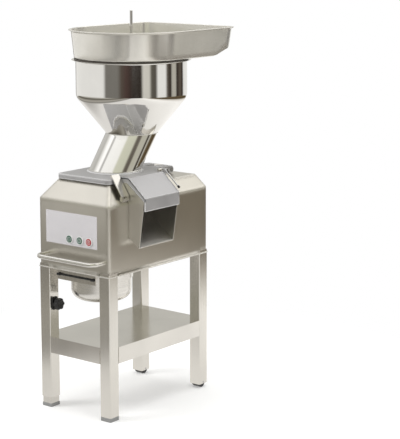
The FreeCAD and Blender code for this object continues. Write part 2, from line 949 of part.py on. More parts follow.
def make_feet():
    """A plastic block under the front right leg, and the clamped levelling foot under the front left one."""
    y = FRONT + HALF_LEG
    inner = HALF_LEG - S.leg_wall
    block = new_body("front_right_foot", LEG_X, y, 0)
    pad(block, square(block, HALF_LEG), S.tube_foot_gap)
    soften(block, S.foot_corner, upright)
    pad(block, square(block, inner - S.plug_gap, S.tube_foot_gap), S.foot_plug)
    tube = new_body("levelling_tube", -LEG_X, y, S.shoe_height)
    half = inner - S.free_gap
    length = S.knob_z + S.level_tube_above_knob - S.shoe_height
    pad(tube, square(tube, half), length)
    soften(tube, S.shoe_corner, upright)
    bore = half - S.leg_wall
    pocket(tube, square(tube, bore, length))
    shoe = new_body("levelling_shoe", -LEG_X, y, 0)
    pad(shoe, square(shoe, HALF_LEG - S.shoe_inset), S.shoe_height)
    pad(shoe, square(shoe, bore - S.plug_gap, S.shoe_height), S.shoe_plug)
    soften(shoe, S.shoe_corner, upright)
    at_top = level_at(S.shoe_height)
    rim = half.value
    soften(shoe, S.shoe_bevel, lambda e: at_top(e) and max(e.XMax, -e.XMin, e.YMax, -e.YMin) > rim, "Chamfer")


def make_rollers():
    y = REAR - HALF_LEG
    pins = []
    for side, x in (("left", -LEG_X), ("right", LEG_X)):
        body = new_body(f"roller_{side}", x, y, S.roller_radius)
        sketch = circle(new_sketch(body, "YZ"), S.roller_radius)
        circle(sketch, S.axle_radius + S.running_gap)
        pad(body, sketch, S.roller_width, both=True)
        tread = S.roller_radius.value
        soften(body, S.roller_edge, lambda e: e.XLength < TINY and e.YLength > tread)
        pins.append(cylinder("Axle", S.axle_radius, S.leg_size, x - HALF_LEG, y, S.roller_radius, "x"))
    group("roller_axles", pins)


def make_knob():
    """A six-lobed knob on its threaded stud, and the dark plate with the threaded boss on the leg."""
    face = S.leg_size - HALF_WIDTH
    y = FRONT + HALF_LEG
    thick = S.knob_plate_thickness
    boss = S.knob_boss_length
    plate = new_body("knob_plate", face, y, S.knob_z)
    wide, high = S.knob_plate_width / 2, S.knob_plate_height / 2
    pad(plate, rectangle(new_sketch(plate, "YZ"), -wide, -high, wide, high), thick)
    soften(plate, thick, lengthwise)
    pad(plate, circle(new_sketch(plate, "YZ", thick), S.knob_boss_radius), boss)
    pocket(plate, circle(new_sketch(plate, "YZ", thick + boss), S.stud_radius + S.running_gap))
    stand_off = thick + boss + S.free_gap
    knob = new_body("clamp_knob", face + stand_off, y, S.knob_z)
    pad(knob, circle(new_sketch(knob, "YZ"), S.knob_radius - S.knob_waist), S.knob_length)
    lobes = circle(new_sketch(knob, "YZ"), S.lobe_radius, S.knob_radius - S.lobe_radius, 0)
    lobe = pad(knob, lobes, S.knob_length)
    repeat(knob, lobe, lobes, KNOB_LOBES)
    between = math.pi / KNOB_LOBES
    away = S.knob_radius + S.dip_outset
    dips = circle(new_sketch(knob, "YZ"), S.dip_radius, away * math.cos(between), away * math.sin(between))
    dip = pocket(knob, dips, S.knob_length, flip=True)
    repeat(knob, dip, dips, KNOB_LOBES)
    stud = circle(new_sketch(knob, "YZ"), S.stud_radius)
    pad(knob, stud, stand_off + S.leg_wall + S.face_gap, flip=True)


# Front controls
def make_controls():
    """The bare light plate on the front, three sprung buttons with their rings, and the switches behind."""
    plate = new_body("control_plate", 0, FRONT, 0)
    sketch = new_sketch(plate, "XZ")
    top = S.label_bottom + S.label_height
    rectangle(sketch, S.label_inset_left - HALF_WIDTH, S.label_bottom, LABEL_RIGHT, top)
    z = S.button_z
    bezels = []
    switches = []
    for name, from_edge in BUTTONS.items():
        x = LABEL_RIGHT - from_edge
        circle(sketch, S.button_hole, x, z)
        gap = S.face_gap
        outside = cylinder("Ring", S.bezel_radius, S.bezel_length, x, FRONT - S.bezel_reach, z, "y")
        inside = S.button_radius + S.free_gap
        bore = cylinder("Bore", inside, S.bezel_length + gap * 2, x, FRONT - S.bezel_reach - gap, z, "y")
        bezels.append(carved("Bezel", outside, bore))
        wide, high = S.switch_half_width, S.switch_half_height
        near, far = FRONT + S.sheet_wall, FRONT + S.switch_depth
        block = box("Block", x - wide, near, z - high, x + wide, far, z + high)
        stem = S.button_stem_radius
        guide = cylinder("Guide", stem + S.running_gap, S.switch_bore + gap, x, near - gap, z, "y")
        switches.append(carved("Switch", block, guide))
        button = new_body(f"button_{name}", x, FRONT - S.button_reach, z)
        pad(button, circle(new_sketch(button, "XZ"), S.button_radius), S.button_cap, flip=True)
        soften(button, S.button_edge, lambda e: e.YMin < TINY and e.YLength < TINY)
        pad(button, circle(new_sketch(button, "XZ", -S.button_cap), stem), S.button_stem, flip=True)
    pad(plate, sketch, S.label_thickness)
    group("button_bezels", bezels)
    group("switch_blocks", switches)


def make_bow_handle():
    """A round bar bent into a bow: two legs out of the front face joined by rounded corners."""
    left, right, reach = HANDLE_LEFT.value, HANDLE_RIGHT.value, S.handle_reach.value
    bend = S.handle_bend.value
    wall = FRONT.value
    z = S.handle_z.value
    front = wall - reach
    corner = bend * (1 - math.sqrt(0.5))

    def at(x, y):
        return FreeCAD.Vector(x, y, z)

    left_bend = [at(left, front + bend), at(left + corner, front + corner), at(left + bend, front)]
    right_bend = [at(right - bend, front), at(right - corner, front + corner), at(right, front + bend)]
    path = Part.Wire(
        [
            Part.makeLine(at(left, wall), left_bend[0]),
            Part.Arc(*left_bend).toShape(),
            Part.makeLine(left_bend[2], right_bend[0]),
            Part.Arc(*right_bend).toShape(),
            Part.makeLine(right_bend[2], at(right, wall)),
        ]
    )
    section = Part.Wire(Part.makeCircle(S.handle_radius.value, at(left, wall), FreeCAD.Vector(0, 1, 0)))
    shaped("bow_handle", path.makePipeShell([section], True, True))
    inside = FRONT + S.sheet_wall
    fixings = []
    for x in (HANDLE_LEFT, HANDLE_RIGHT):
        washer = cylinder("Washer", S.washer_radius, S.washer_thickness, x, inside, S.handle_z, "y")
        stud = cylinder("Stud", S.handle_stud_radius, S.handle_stud, x, FRONT, S.handle_z, "y")
        nut = doc.addObject("Part::Prism", "Nut")
        nut.Polygon = 6
        bind(nut, "Circumradius", S.nut_radius)
        bind(nut, "Height", S.nut_height)
        turned = FreeCAD.Rotation(FreeCAD.Vector(1, 0, 0), -90)
        nut.Placement = FreeCAD.Placement(FreeCAD.Vector(0, 0, 0), turned)
        place(nut, x, inside + S.washer_thickness, S.handle_z)
        fixings.append(joined("Fixing", [washer, stud, nut]))
    group("handle_nuts", fixings)


# Cutting chamber and outlet
def make_chamber():
    """The round cutting chamber with its bearing boss, standing on the chassis plate."""
    floor = S.chamber_floor
    wall = CHAMBER_OUTSIDE
    inner = SHAFT_BORE + S.seal_gap
    seat = floor + S.seal_gap
    seal_top = seat + S.seal_height
    deck = floor - S.chamber_floor_wall
    foot = S.plate_top + S.chamber_floor_wall
    roof = floor - S.chamber_step
    bearing = S.plate_top + S.chamber_step
    body = new_body("chamber", 0, DISC_Y, 0)
    turn(
        body,
        [
            (inner, seat),
            (S.seal_radius, seat),
            (S.seal_radius, seal_top),
            (S.hub_radius - S.hub_taper, seal_top),
            (S.hub_radius, floor),
            (S.chamber_radius, floor),
            (S.chamber_radius, S.front_top),
            (wall, S.front_top),
            (wall, deck),
            (S.chamber_neck, deck),
            (S.chamber_neck, foot),
            (S.chamber_foot, foot),
            (S.chamber_foot, S.plate_top),
            (S.chamber_neck - S.chamber_floor_wall, S.plate_top),
            (S.chamber_neck - S.chamber_floor_wall, roof),
            (S.chamber_rib, roof),
            (S.chamber_rib, bearing),
            (S.bearing_radius, bearing),
            (S.bearing_radius, bearing + S.bearing_seat),
            (inner, bearing + S.bearing_seat),
        ],
    )
    window = new_sketch(body, "XY", floor)
    window_front = S.window_front_margin - S.outlet_before
    rectangle(window, S.window_start, window_front, wall + S.overcut, S.outlet_behind - S.window_rear_margin)
    pocket(body, window, S.disc_top - S.window_top_margin - floor, flip=True)
    gasket = new_body("chamber_gasket", 0, DISC_Y, 0)
    lid = S.lid_bottom - S.seat_gap
    turn(gasket, [(S.chamber_radius, S.front_top), (wall, S.front_top), (wall, lid), (S.chamber_radius, lid)])
    seal = new_body("shaft_seal", 0, DISC_Y, 0)
    turn(seal, [(SHAFT_BORE, seat), (S.seal_radius, seat), (S.seal_radius, seal_top), (SHAFT_BORE, seal_top)])
    heights = {
        "upper_bearing": S.plate_top + S.upper_bearing_lift,
        "lower_bearing": S.motor_top + S.lower_bearing_lift,
    }
    width, step = S.bearing_width, S.race_step
    for name, z in heights.items():
        bearing = new_body(name, 0, DISC_Y, z)
        turn(
            bearing,
            [
                (SHAFT_BORE, 0),
                (S.inner_race, 0),
                (S.inner_race, step),
                (S.outer_race, step),
                (S.outer_race, 0),
                (S.bearing_radius, 0),
                (S.bearing_radius, width),
                (S.outer_race, width),
                (S.outer_race, width - step),
                (S.inner_race, width - step),
                (S.inner_race, width),
                (SHAFT_BORE, width),
            ],
        )


def make_chute():
    """Folded stainless outlet: a sloped floor and two upright cheeks that rise to the hood's rims."""
    body = new_body("chute", 0, OUTLET_MIDDLE, 0)
    start = S.outlet_start
    lip_x = HALF_WIDTH + S.chute_reach
    crown = S.lid_bottom + S.cheek_top
    lid_edge = LID_HALF + S.cheek_lid_gap
    below_lid = S.front_top - S.cheek_below_lid
    side = [
        (start, S.outlet_floor_inner),
        (lip_x, S.chute_lip),
        (lip_x + S.chute_flare, S.body_bend + S.cheek_rise),
        (HALF_WIDTH - S.cheek_knee_inset, crown),
        (lid_edge, crown),
        (lid_edge, below_lid),
        (start, below_lid),
    ]
    pad(body, outline(new_sketch(body, "XZ"), side), OUTLET_WIDTH, both=True)
    past = S.overcut
    far = lip_x + S.chute_reach
    low = S.chute_lip - S.chute_lip_bevel
    room = [
        (start - past, S.outlet_floor_inner + S.chute_floor_wall),
        (lip_x + past, low),
        (far, low),
        (far, S.lid_top),
        (start - past, S.lid_top),
    ]
    pocket(body, outline(new_sketch(body, "XZ"), room), OUTLET_WIDTH - S.chute_wall * 2, both=True)


# Drive
def gear_shape(teeth, module, width, bore, backlash):
    """An involute spur gear: a flank point lies at angle half_tooth + inv(pressure) - inv(its own angle)."""
    pitch = teeth * module / 2
    base = pitch * math.cos(PRESSURE)
    root = pitch - ROOT_SHARE * module
    tip = pitch + TIP_SHARE * module
    half_tooth = math.pi / (2 * teeth) - backlash / (2 * pitch)
    involute = math.tan(PRESSURE) - PRESSURE
    start = max(base, root)
    flank = []
    for step in range(FLANK_POINTS):
        radius = start + (tip - start) * step / (FLANK_POINTS - 1)
        press = math.acos(min(1, base / radius))
        flank.append((radius, half_tooth + involute - (math.tan(press) - press)))
    if root < start:
        flank.insert(0, (root, flank[0][1]))
    vectors = []
    for tooth in range(teeth):
        middle = 2 * math.pi * tooth / teeth
        rising = [(radius, middle - angle) for radius, angle in flank]
        falling = [(radius, middle + angle) for radius, angle in reversed(flank)]
        for radius, angle in rising + falling:
            vectors.append(FreeCAD.Vector(radius * math.cos(angle), radius * math.sin(angle), 0))
    face = Part.Face(Part.makePolygon(vectors + vectors[:1]))
    return face.extrude(FreeCAD.Vector(0, 0, width)).cut(Part.makeCylinder(bore, width))


def make_gears():
    """Wheel and pinion in mesh: the pinion has a gap, the wheel a tooth, on the line between the axes."""
    half_pitch = 180 / S.pinion_teeth.value
    for name, teeth, y, bore, turned in (
        ("drive_gear", S.wheel_teeth, DISC_Y, S.shaft_radius, -90),
        ("motor_pinion", S.pinion_teeth, MOTOR_Y, S.rotor_shaft_radius, 90 + half_pitch),
    ):
        sizes = (S.gear_module, S.gear_width, bore, S.gear_backlash)
        gear = shaped(name, gear_shape(int(teeth.value), *(number.value for number in sizes)))
        spin = FreeCAD.Rotation(FreeCAD.Vector(0, 0, 1), turned)
        gear.Placement = FreeCAD.Placement(FreeCAD.Vector(0, y.value, S.gear_bottom.value), spin)


def make_gear_case():
    body = new_body("gear_case", 0, 0, S.motor_top)
    height = PLATE_BOTTOM - S.motor_top
    outside = S.gear_case_radius
    pad(body, stadium(new_sketch(body, "XY"), outside, MOTOR_Y, DISC_Y), height)
    room = stadium(new_sketch(body, "XY", height), outside - S.gear_case_wall, MOTOR_Y, DISC_Y)
    pocket(body, room, height - S.gear_case_floor)
    seat = S.lower_bearing_lift
    boss = S.gear_case_boss_height
    above = seat + boss + S.overcut
    pad(body, circle(new_sketch(body, "XY", seat), S.gear_case_boss, 0, DISC_Y), boss)
    pocket(body, circle(new_sketch(body, "XY", above), S.bearing_radius, 0, DISC_Y), boss + S.overcut)
    pocket(body, circle(new_sketch(body, "XY", above), S.gear_case_motor_bore, 0, MOTOR_Y))


def make_motor():
    """Motor housing with its stator, both turned round the motor axis, and the rotor on its shaft."""
    low = S.motor_bottom
    high = S.motor_top
    radius = S.motor_radius
    room = radius - S.motor_wall
    bore = S.stator_bore
    stator_low = low + S.stator_below
    stator_high = high - S.stator_above
    foot = low + S.foot_boss_height
    housing = new_body("motor_housing", 0, MOTOR_Y, 0)
    turn(
        housing,
        [
            (0, low),
            (radius - S.motor_edge, low),
            (radius, low + S.motor_edge),
            (radius, high),
            (ROTOR_BORE, high),
            (ROTOR_BORE, high - S.end_cap),
            (S.end_boss, high - S.end_cap),
            (S.end_boss, high - S.motor_wall),
            (room, high - S.motor_wall),
            (room, stator_high),
            (bore, stator_high),
            (bore, stator_low),
            (room, stator_low),
            (room, low + S.motor_wall),
            (S.foot_boss, low + S.motor_wall),
            (S.foot_boss, foot),
            (ROTOR_BORE, foot),
            (ROTOR_BORE, low + S.end_floor),
            (0, low + S.end_floor),
        ],
    )
    rotor = new_body("motor_rotor", 0, MOTOR_Y, 0)
    core = bore - S.free_gap
    shaft = S.rotor_shaft_radius
    shaft_low = low + S.end_floor + S.rotor_shaft_foot
    shaft_high = GEAR_TOP + S.rotor_end_gap
    core_low = stator_low + S.rotor_end_gap
    core_high = stator_high - S.rotor_end_gap
    turn(
        rotor,
        [
            (0, shaft_low),
            (shaft, shaft_low),
            (shaft, core_low),
            (core, core_low),
            (core, core_high),
            (shaft, core_high),
            (shaft, shaft_high),
            (0, shaft_high),
        ],
    )


def make_motor_cover():
    """Deep-drawn bowl below the casing with a stepped and flanged edge, its front bracket and its rod."""
    body = new_body("motor_cover", 0, MOTOR_Y - S.cover_offset, 0)
    wall = S.sheet_wall
    radius = S.cover_radius
    step = radius + S.cover_step
    flange = step + S.cover_flange
    low = S.cover_bottom
    shoulder = PAN_LOW - S.cover_shoulder
    turn(
        body,
        [
            (0, low),
            (radius, low),
            (radius, shoulder),
            (step, shoulder),
            (step, PAN_LOW - wall),
            (flange, PAN_LOW - wall),
            (flange, PAN_LOW),
            (step - wall, PAN_LOW),
            (step - wall, shoulder + wall),
            (radius - wall, shoulder + wall),
            (radius - wall, low + wall),
            (0, low + wall),
        ],
    )
    soften(body, S.cover_corner, level_at(low))
    soften(body, S.cover_corner - wall, level_at(low + wall))
    bracket = new_body("cover_bracket", 0, FRONT, S.body_bottom)
    near = S.bracket_start
    far = near + S.bracket_foot
    fold = near + S.bracket_wall
    high = S.pan_lift
    under = high - wall
    drop = -S.bracket_drop
    shape = [(near, high), (far, high), (far, under), (fold, under), (fold, drop), (near, drop)]
    pad(bracket, outline(new_sketch(bracket, "YZ"), shape), S.bracket_width, both=True)
    y = FRONT + S.retainer_inset
    start = -S.retainer_length / 2
    end = S.retainer_end_length
    rod = cylinder("Rod", S.retainer_radius, S.retainer_length, start, y, S.retainer_z, "x")
    tips = []
    for x in (start - S.retainer_end_reach, S.retainer_end_reach - start - end):
        tips.append(cylinder("End", S.retainer_end_radius, end, x, y, S.retainer_z, "x"))
    node(joined("retaining_rod", [rod] + tips), "retaining_rod")


def make_disc_drive():
    """Everything that turns about the disc shaft: the shaft, ejector, slicing disc, blades and nut."""
    radius = S.shaft_radius
    low = S.motor_top + S.shaft_foot
    top = S.disc_top + S.shaft_above_disc
    bevel = S.shaft_bevel
    shaft = new_body("drive_shaft", 0, DISC_Y, 0)
    turn(
        shaft,
        [
            (0, low),
            (radius, low),
            (radius, GEAR_TOP),
            (radius + S.shaft_collar, GEAR_TOP),
            (radius + S.shaft_collar, GEAR_TOP + S.shaft_collar_width),
            (radius, GEAR_TOP + S.shaft_collar_width),
            (radius, top - bevel),
            (radius - bevel, top),
            (0, top),
        ],
    )
    floor = S.chamber_floor + S.ejector_lift
    web = floor + S.ejector_thickness
    hub = S.ejector_hub
    hub_top = floor + S.ejector_hub_height
    ejector = new_body("ejector_disc", 0, DISC_Y, 0)
    rim = S.disc_radius
    turn(ejector, [(radius, floor), (rim, floor), (rim, web), (hub, web), (hub, hub_top), (radius, hub_top)])
    vanes = new_sketch(ejector, "XY", web)
    near = hub - S.vane_overlap
    far = S.disc_radius - S.vane_margin
    rectangle(vanes, near, -S.vane_half, far, S.vane_half)
    rectangle(vanes, -far, -S.vane_half, -near, S.vane_half)
    pad(ejector, vanes, S.vane_height)
    plate = S.disc_top - S.disc_thickness
    disc = new_body("slicing_disc", 0, DISC_Y, 0)
    turn(
        disc,
        [
            (radius, hub_top),
            (S.disc_hub, hub_top),
            (S.disc_hub, plate),
            (S.disc_radius, plate),
            (S.disc_radius, S.disc_top),
            (radius, S.disc_top),
        ],
    )
    slots = new_sketch(disc, "XY", S.disc_top)
    near = S.disc_slot_start
    far = S.disc_radius - S.disc_slot_margin
    rectangle(slots, near, -S.disc_slot_front, far, S.disc_slot_rear)
    rectangle(slots, -far, -S.disc_slot_rear, -near, S.disc_slot_front)
    pocket(disc, slots, S.disc_thickness + S.overcut)
    blades = []
    for sign, turned in ((-1, 180), (1, 0)):
        blade = doc.addObject("Part::Box", "Blade")
        bind(blade, "Length", S.disc_radius - S.blade_start - S.blade_margin)
        bind(blade, "Width", S.blade_width)
        bind(blade, "Height", S.blade_thickness)
        tilt = FreeCAD.Rotation(FreeCAD.Vector(1, 0, 0), -S.blade_tilt.value)
        spin = FreeCAD.Rotation(FreeCAD.Vector(0, 0, 1), turned)
        blade.Placement = FreeCAD.Placement(FreeCAD.Vector(0, 0, 0), spin.multiply(tilt))
        place(blade, sign * S.blade_start, DISC_Y - sign * S.blade_reach, S.disc_top + S.blade_lift)
        blades.append(blade)
    group("slicing_blades", blades)
    nut = new_body("disc_nut", 0, DISC_Y, S.disc_top)
    height = S.disc_nut_height
    turn(
        nut,
        [
            (0, S.shaft_above_disc),
            (radius, S.shaft_above_disc),
            (radius, 0),
            (S.disc_hub, 0),
            (S.disc_hub, S.disc_nut_side),
            (S.disc_nut_crown, height - bevel),
            (0, height),
        ],
    )


# Feed head
def make_head_base():
    """Cast lid plate with the feed opening, the outlet hood on its right side and two hinge arms."""
    body = new_body("head_base")
    half = LID_HALF
    deck = rectangle(new_sketch(body, "XY", S.lid_bottom), -half, LID_FRONT, half, LID_REAR)
    pad(body, deck, S.lid_top - S.lid_bottom)
    soften(body, S.lid_corner, upright)
    wall = S.hood_wall
    knee = HALF_WIDTH - S.hood_knee_inset
    nose = HALF_WIDTH + S.hood_nose
    chin = S.hood_chin
    root = half - S.hood_root
    root_z = S.lid_top - S.hood_root_depth
    under = CREST - S.hood_under
    edge = half - S.hood_edge
    hood = [
        (root, root_z),
        (root, CREST),
        (knee, CREST),
        (nose, chin),
        (nose, S.hood_bottom),
        (nose - wall, S.hood_bottom),
        (nose - wall, chin - S.hood_chin_drop),
        (knee - S.hood_chin_drop, under),
        (edge, under),
        (edge, root_z),
    ]
    pad(body, outline(new_sketch(body, "XZ", -OUTLET_REAR), hood), OUTLET_WIDTH)
    rim_root = half - S.rim_root
    rim_low = CREST - S.hood_rim
    rim_nose = chin - S.hood_rim_nose
    rim = [
        (rim_root, CREST),
        (knee, CREST),
        (nose, chin),
        (nose, rim_nose),
        (nose - wall, rim_nose),
        (knee - S.rim_knee, rim_low),
        (rim_root, rim_low),
    ]
    for offset in (-OUTLET_REAR, -OUTLET_FRONT - wall):
        pad(body, outline(new_sketch(body, "XZ", offset), rim), wall)
    collar = circle(new_sketch(body, "XY", S.lid_top), S.feed_radius + S.lid_collar, 0, FEED_Y)
    pad(body, collar, S.lid_collar_height)
    bore = S.feed_radius - S.sheet_wall - S.feed_mouth_gap
    pocket(body, circle(new_sketch(body, "XY", CREST), bore, 0, FEED_Y))
    y, z = HINGE_PLACE
    r = S.hinge_radius
    arm = [
        (LID_REAR - S.arm_root, S.lid_bottom),
        (LID_REAR - S.arm_root, S.lid_top),
        (y - S.arm_crown, z + r),
        (y, z + r),
        (y, z),
        (y - S.arm_inner, z + S.arm_inner_rise),
        (y - S.arm_foot, S.lid_bottom),
    ]
    inner = S.hinge_half + S.hinge_side_gap
    for start in (inner, -inner - S.lug_width):
        pad(body, outline(new_sketch(body, "YZ", start), arm), S.lug_width)
        pad(body, circle(new_sketch(body, "YZ", start), r, y, z), S.lug_width)
    pocket(body, circle(new_sketch(body, "YZ"), S.hinge_pin_radius, y, z), both=True)


def make_hinge():
    """Bracket on the rear of the casing top, and the pin that the feed head tips on."""
    y, z = HINGE_PLACE
    r = S.hinge_radius
    width = S.hinge_half * 2
    body = new_body("hinge_bracket")
    pad(body, rectangle(new_sketch(body, "YZ"), y - r, S.rear_top, y + r, z), width, both=True)
    pad(body, circle(new_sketch(body, "YZ"), r, y, z), width, both=True)
    pocket(body, circle(new_sketch(body, "YZ"), S.hinge_pin_radius + S.running_gap, y, z), both=True)
    half = S.hinge_half + S.hinge_side_gap + S.lug_width + S.hinge_pin_overhang
    node(cylinder("hinge_pin", S.hinge_pin_radius, half * 2, -half, y, z, "x"), "hinge_pin")


def make_feed_tube():
    """Leaning tube between the cone of the hopper and the opening in the lid."""
    body = new_body("feed_tube")
    for radius, kind in ((S.feed_radius, "AdditiveLoft"), (S.feed_radius - S.sheet_wall, "SubtractiveLoft")):
        bottom = circle(new_sketch(body, "XY", CREST), radius, 0, FEED_Y)
        top = circle(new_sketch(body, "XY", S.feed_top), radius, 0, HOPPER_Y)
        loft(body, kind, bottom, top)


def make_hopper():
    """Spun hopper: an outward flange, a straight cylinder, a rounded knee and a cone down to the tube."""
    body = new_body("hopper", 0, HOPPER_Y, 0)
    wall = S.sheet_wall
    radius = S.hopper_radius
    inside = radius - wall
    neck = S.feed_radius + S.hopper_neck
    knee = S.hopper_knee
    lift = S.hopper_knee_lift
    turn(
        body,
        [
            (S.hopper_flange, S.hopper_top),
            (inside, S.hopper_top),
            (inside, knee + lift),
            (neck - wall - lift, S.feed_top),
            (neck + lift, S.feed_top),
            (radius, knee),
            (radius, S.hopper_top - wall),
            (S.hopper_flange, S.hopper_top - wall),
        ],
    )
    soften(body, S.hopper_knee_round, level_at(knee))
    soften(body, S.hopper_knee_round - wall, level_at(knee + lift))
    slide = new_body("slide_ring", 0, HOPPER_Y, S.hopper_top)
    high = S.tray_bottom - S.hopper_top - S.free_gap
    turn(slide, [(inside, 0), (S.tray_foot_radius, 0), (S.tray_foot_radius, high), (inside, high)])


def tray_volume(body, inset, floor):
    """The outer shape of the tray, or with an inset and a raised floor the room inside it."""
    height = S.tray_top - S.tray_bottom
    back = S.tray_reach
    corner = S.tray_corner - inset
    low = new_sketch(body, "XY", floor)
    horseshoe(low, S.tray_foot_radius - inset, back - S.tray_back_flare - inset, corner)
    high = horseshoe(new_sketch(body, "XY", height), S.tray_radius - inset, back - inset, corner)
    loft(body, "AdditiveLoft", low, high)
    foot = back - S.tray_ramp
    end = back + S.tray_ramp_past
    rise = [(foot, floor - 1), (foot, floor), (end, floor + S.tray_ramp_rise), (end, floor - 1)]
    pocket(body, outline(new_sketch(body, "YZ"), rise), both=True)


def make_tray():
    """Feeding tray: a round-fronted pan with a raised back end, turned-out lip and a round floor opening."""
    wall = S.sheet_wall
    body = new_body("feed_tray", 0, HOPPER_Y, S.tray_bottom)
    tray_volume(body, size(0), size(0))
    room = doc.addObject("PartDesign::Body", "TrayRoom")
    tray_volume(room, wall, wall)
    emptied = body.newObject("PartDesign::Boolean", "Emptied")
    emptied.Type = "Cut"
    emptied.setObjects([room])
    lip = new_sketch(body, "XY", S.tray_top - S.tray_bottom)
    for reach in (S.tray_lip, -S.lip_overlap):
        horseshoe(lip, S.tray_radius + reach, S.tray_reach + reach, S.tray_corner + reach)
    pad(body, lip, S.tray_lip_height, flip=True)
    opening = S.hopper_radius - wall - S.tray_collar_gap
    pocket(body, circle(new_sketch(body, "XY", S.overcut), opening), S.overcut * 2)
    collar = circle(new_sketch(body, "XY", wall), opening + S.plug_gap)
    circle(collar, opening - wall)
    pad(body, collar, wall + S.tray_collar, flip=True)


def make_stirrer():
    """A bridge across the neck of the hopper that guides the upright stirring rod."""
    span = S.feed_radius - S.sheet_wall - S.bridge_gap
    body = new_body("stirrer_bridge", 0, HOPPER_Y, S.feed_top)
    half = S.bridge_half
    pad(body, rectangle(new_sketch(body, "XY", -S.bridge_drop), -span, -half, span, half), S.bridge_thickness)
    soften(body, S.bridge_corner, lengthwise)
    hub = circle(new_sketch(body, "XY", -S.bridge_hub_drop), S.bridge_hub)
    pad(body, hub, S.bridge_hub_drop + S.bridge_hub_rise)
    pocket(body, circle(new_sketch(body, "XY", S.bridge_hub_rise + S.overcut), ROD_BORE))
    rod = S.rod_radius
    collar = S.rod_collar
    under = S.feed_top - S.bridge_hub_drop - S.free_gap
    over = S.feed_top + S.bridge_hub_rise + S.free_gap
    collar_top = over + S.rod_collar_height
    stirrer = new_body("stirrer", 0, HOPPER_Y, 0)
    turn(
        stirrer,
        [
            (0, S.feed_top - S.rod_foot),
            (collar, S.feed_top - S.rod_foot),
            (collar, under),
            (rod, under),
            (rod, over),
            (collar, over),
            (collar, collar_top),
            (rod, collar_top),
            (rod, S.rod_top - S.rod_tip),
            (rod - S.rod_tip, S.rod_top),
            (0, S.rod_top),
        ],
    )
    level = S.feed_top + S.stir_bar_level
    pad(stirrer, circle(new_sketch(stirrer, "YZ"), S.stir_bar_radius, 0, level), S.stir_bar_span, both=True)
    tines = new_sketch(stirrer, "XY", level)
    for x in (S.tine_place, -S.tine_place):
        circle(tines, S.tine_radius, x, 0)
    pad(stirrer, tines, S.tine_height)


def make_latch():
    """Strap latch on the right shoulder: it turns on a pin in its block and hooks over the lid's edge."""
    rise = (S.front_top - S.body_bend).value
    run = S.side_slope.value
    length = math.hypot(rise, run)
    along = FreeCAD.Vector(-run / length, 0, rise / length)
    away = FreeCAD.Vector(rise / length, 0, run / length)
    pivot = FreeCAD.Vector((HALF_WIDTH - S.latch_inset).value, 0, (S.body_bend + S.latch_rise).value)
    front = (FRONT + S.latch_front).value
    rear = front + S.latch_width.value

    def slab(corners, y0, y1):
        points = [pivot + along * a.value + away * n.value + FreeCAD.Vector(0, y0, 0) for a, n in corners]
        face = Part.Face(Part.makePolygon(points + points[:1]))
        return face.extrude(FreeCAD.Vector(0, y1 - y0, 0))

    def round_bar(radius, y0, y1):
        start = pivot + FreeCAD.Vector(0, y0, 0)
        return Part.makeCylinder(radius.value, y1 - y0, start, FreeCAD.Vector(0, 1, 0))

    eye = S.latch_eye.value
    block_front, block_rear = front + eye + S.free_gap.value, rear - eye - S.free_gap.value
    boss, zero = S.latch_boss_radius, size(0)
    base = -S.latch_base
    foot = base + S.latch_foot_wall
    foot_back, foot_front = -S.latch_foot_back, S.latch_foot_front
    block = [
        (foot_back, base),
        (foot_front, base),
        (foot_front, foot),
        (boss, foot),
        (boss, zero),
        (-boss, zero),
        (foot_back, foot),
    ]
    solid = slab(block, block_front, block_rear).fuse(round_bar(boss, block_front, block_rear))
    solid = solid.fuse(round_bar(S.latch_pin_radius, front, rear))
    shaped("latch_block", solid.removeSplitter())
    level = S.latch_strap_level
    top = level + S.latch_strap_wall
    end = S.latch_strap_length
    hook = end - S.latch_hook_wall
    cheek = [
        (zero, -S.latch_cheek_low),
        (S.latch_cheek, zero),
        (S.latch_cheek, top - S.latch_cheek_inset),
        (zero, S.latch_cheek_root),
    ]
    root = S.latch_strap_root
    strap = [(root, level), (hook, level), (end, top), (root, top)]
    lip_low = S.latch_hook_low
    inner = hook - S.latch_hook_overlap
    lip = [(hook, lip_low), (end, lip_low), (end, top), (inner, top), (inner, level)]
    solid = slab(strap, front, rear).fuse(slab(lip, front, rear))
    for y0, y1 in ((front, front + eye), (rear - eye, rear)):
        solid = solid.fuse(round_bar(S.latch_eye_radius, y0, y1)).fuse(slab(cheek, y0, y1))
    bore = round_bar(S.latch_pin_radius + S.running_gap, front - 1, rear + 1)
    shaped("latch_strap", solid.cut(bore).removeSplitter())


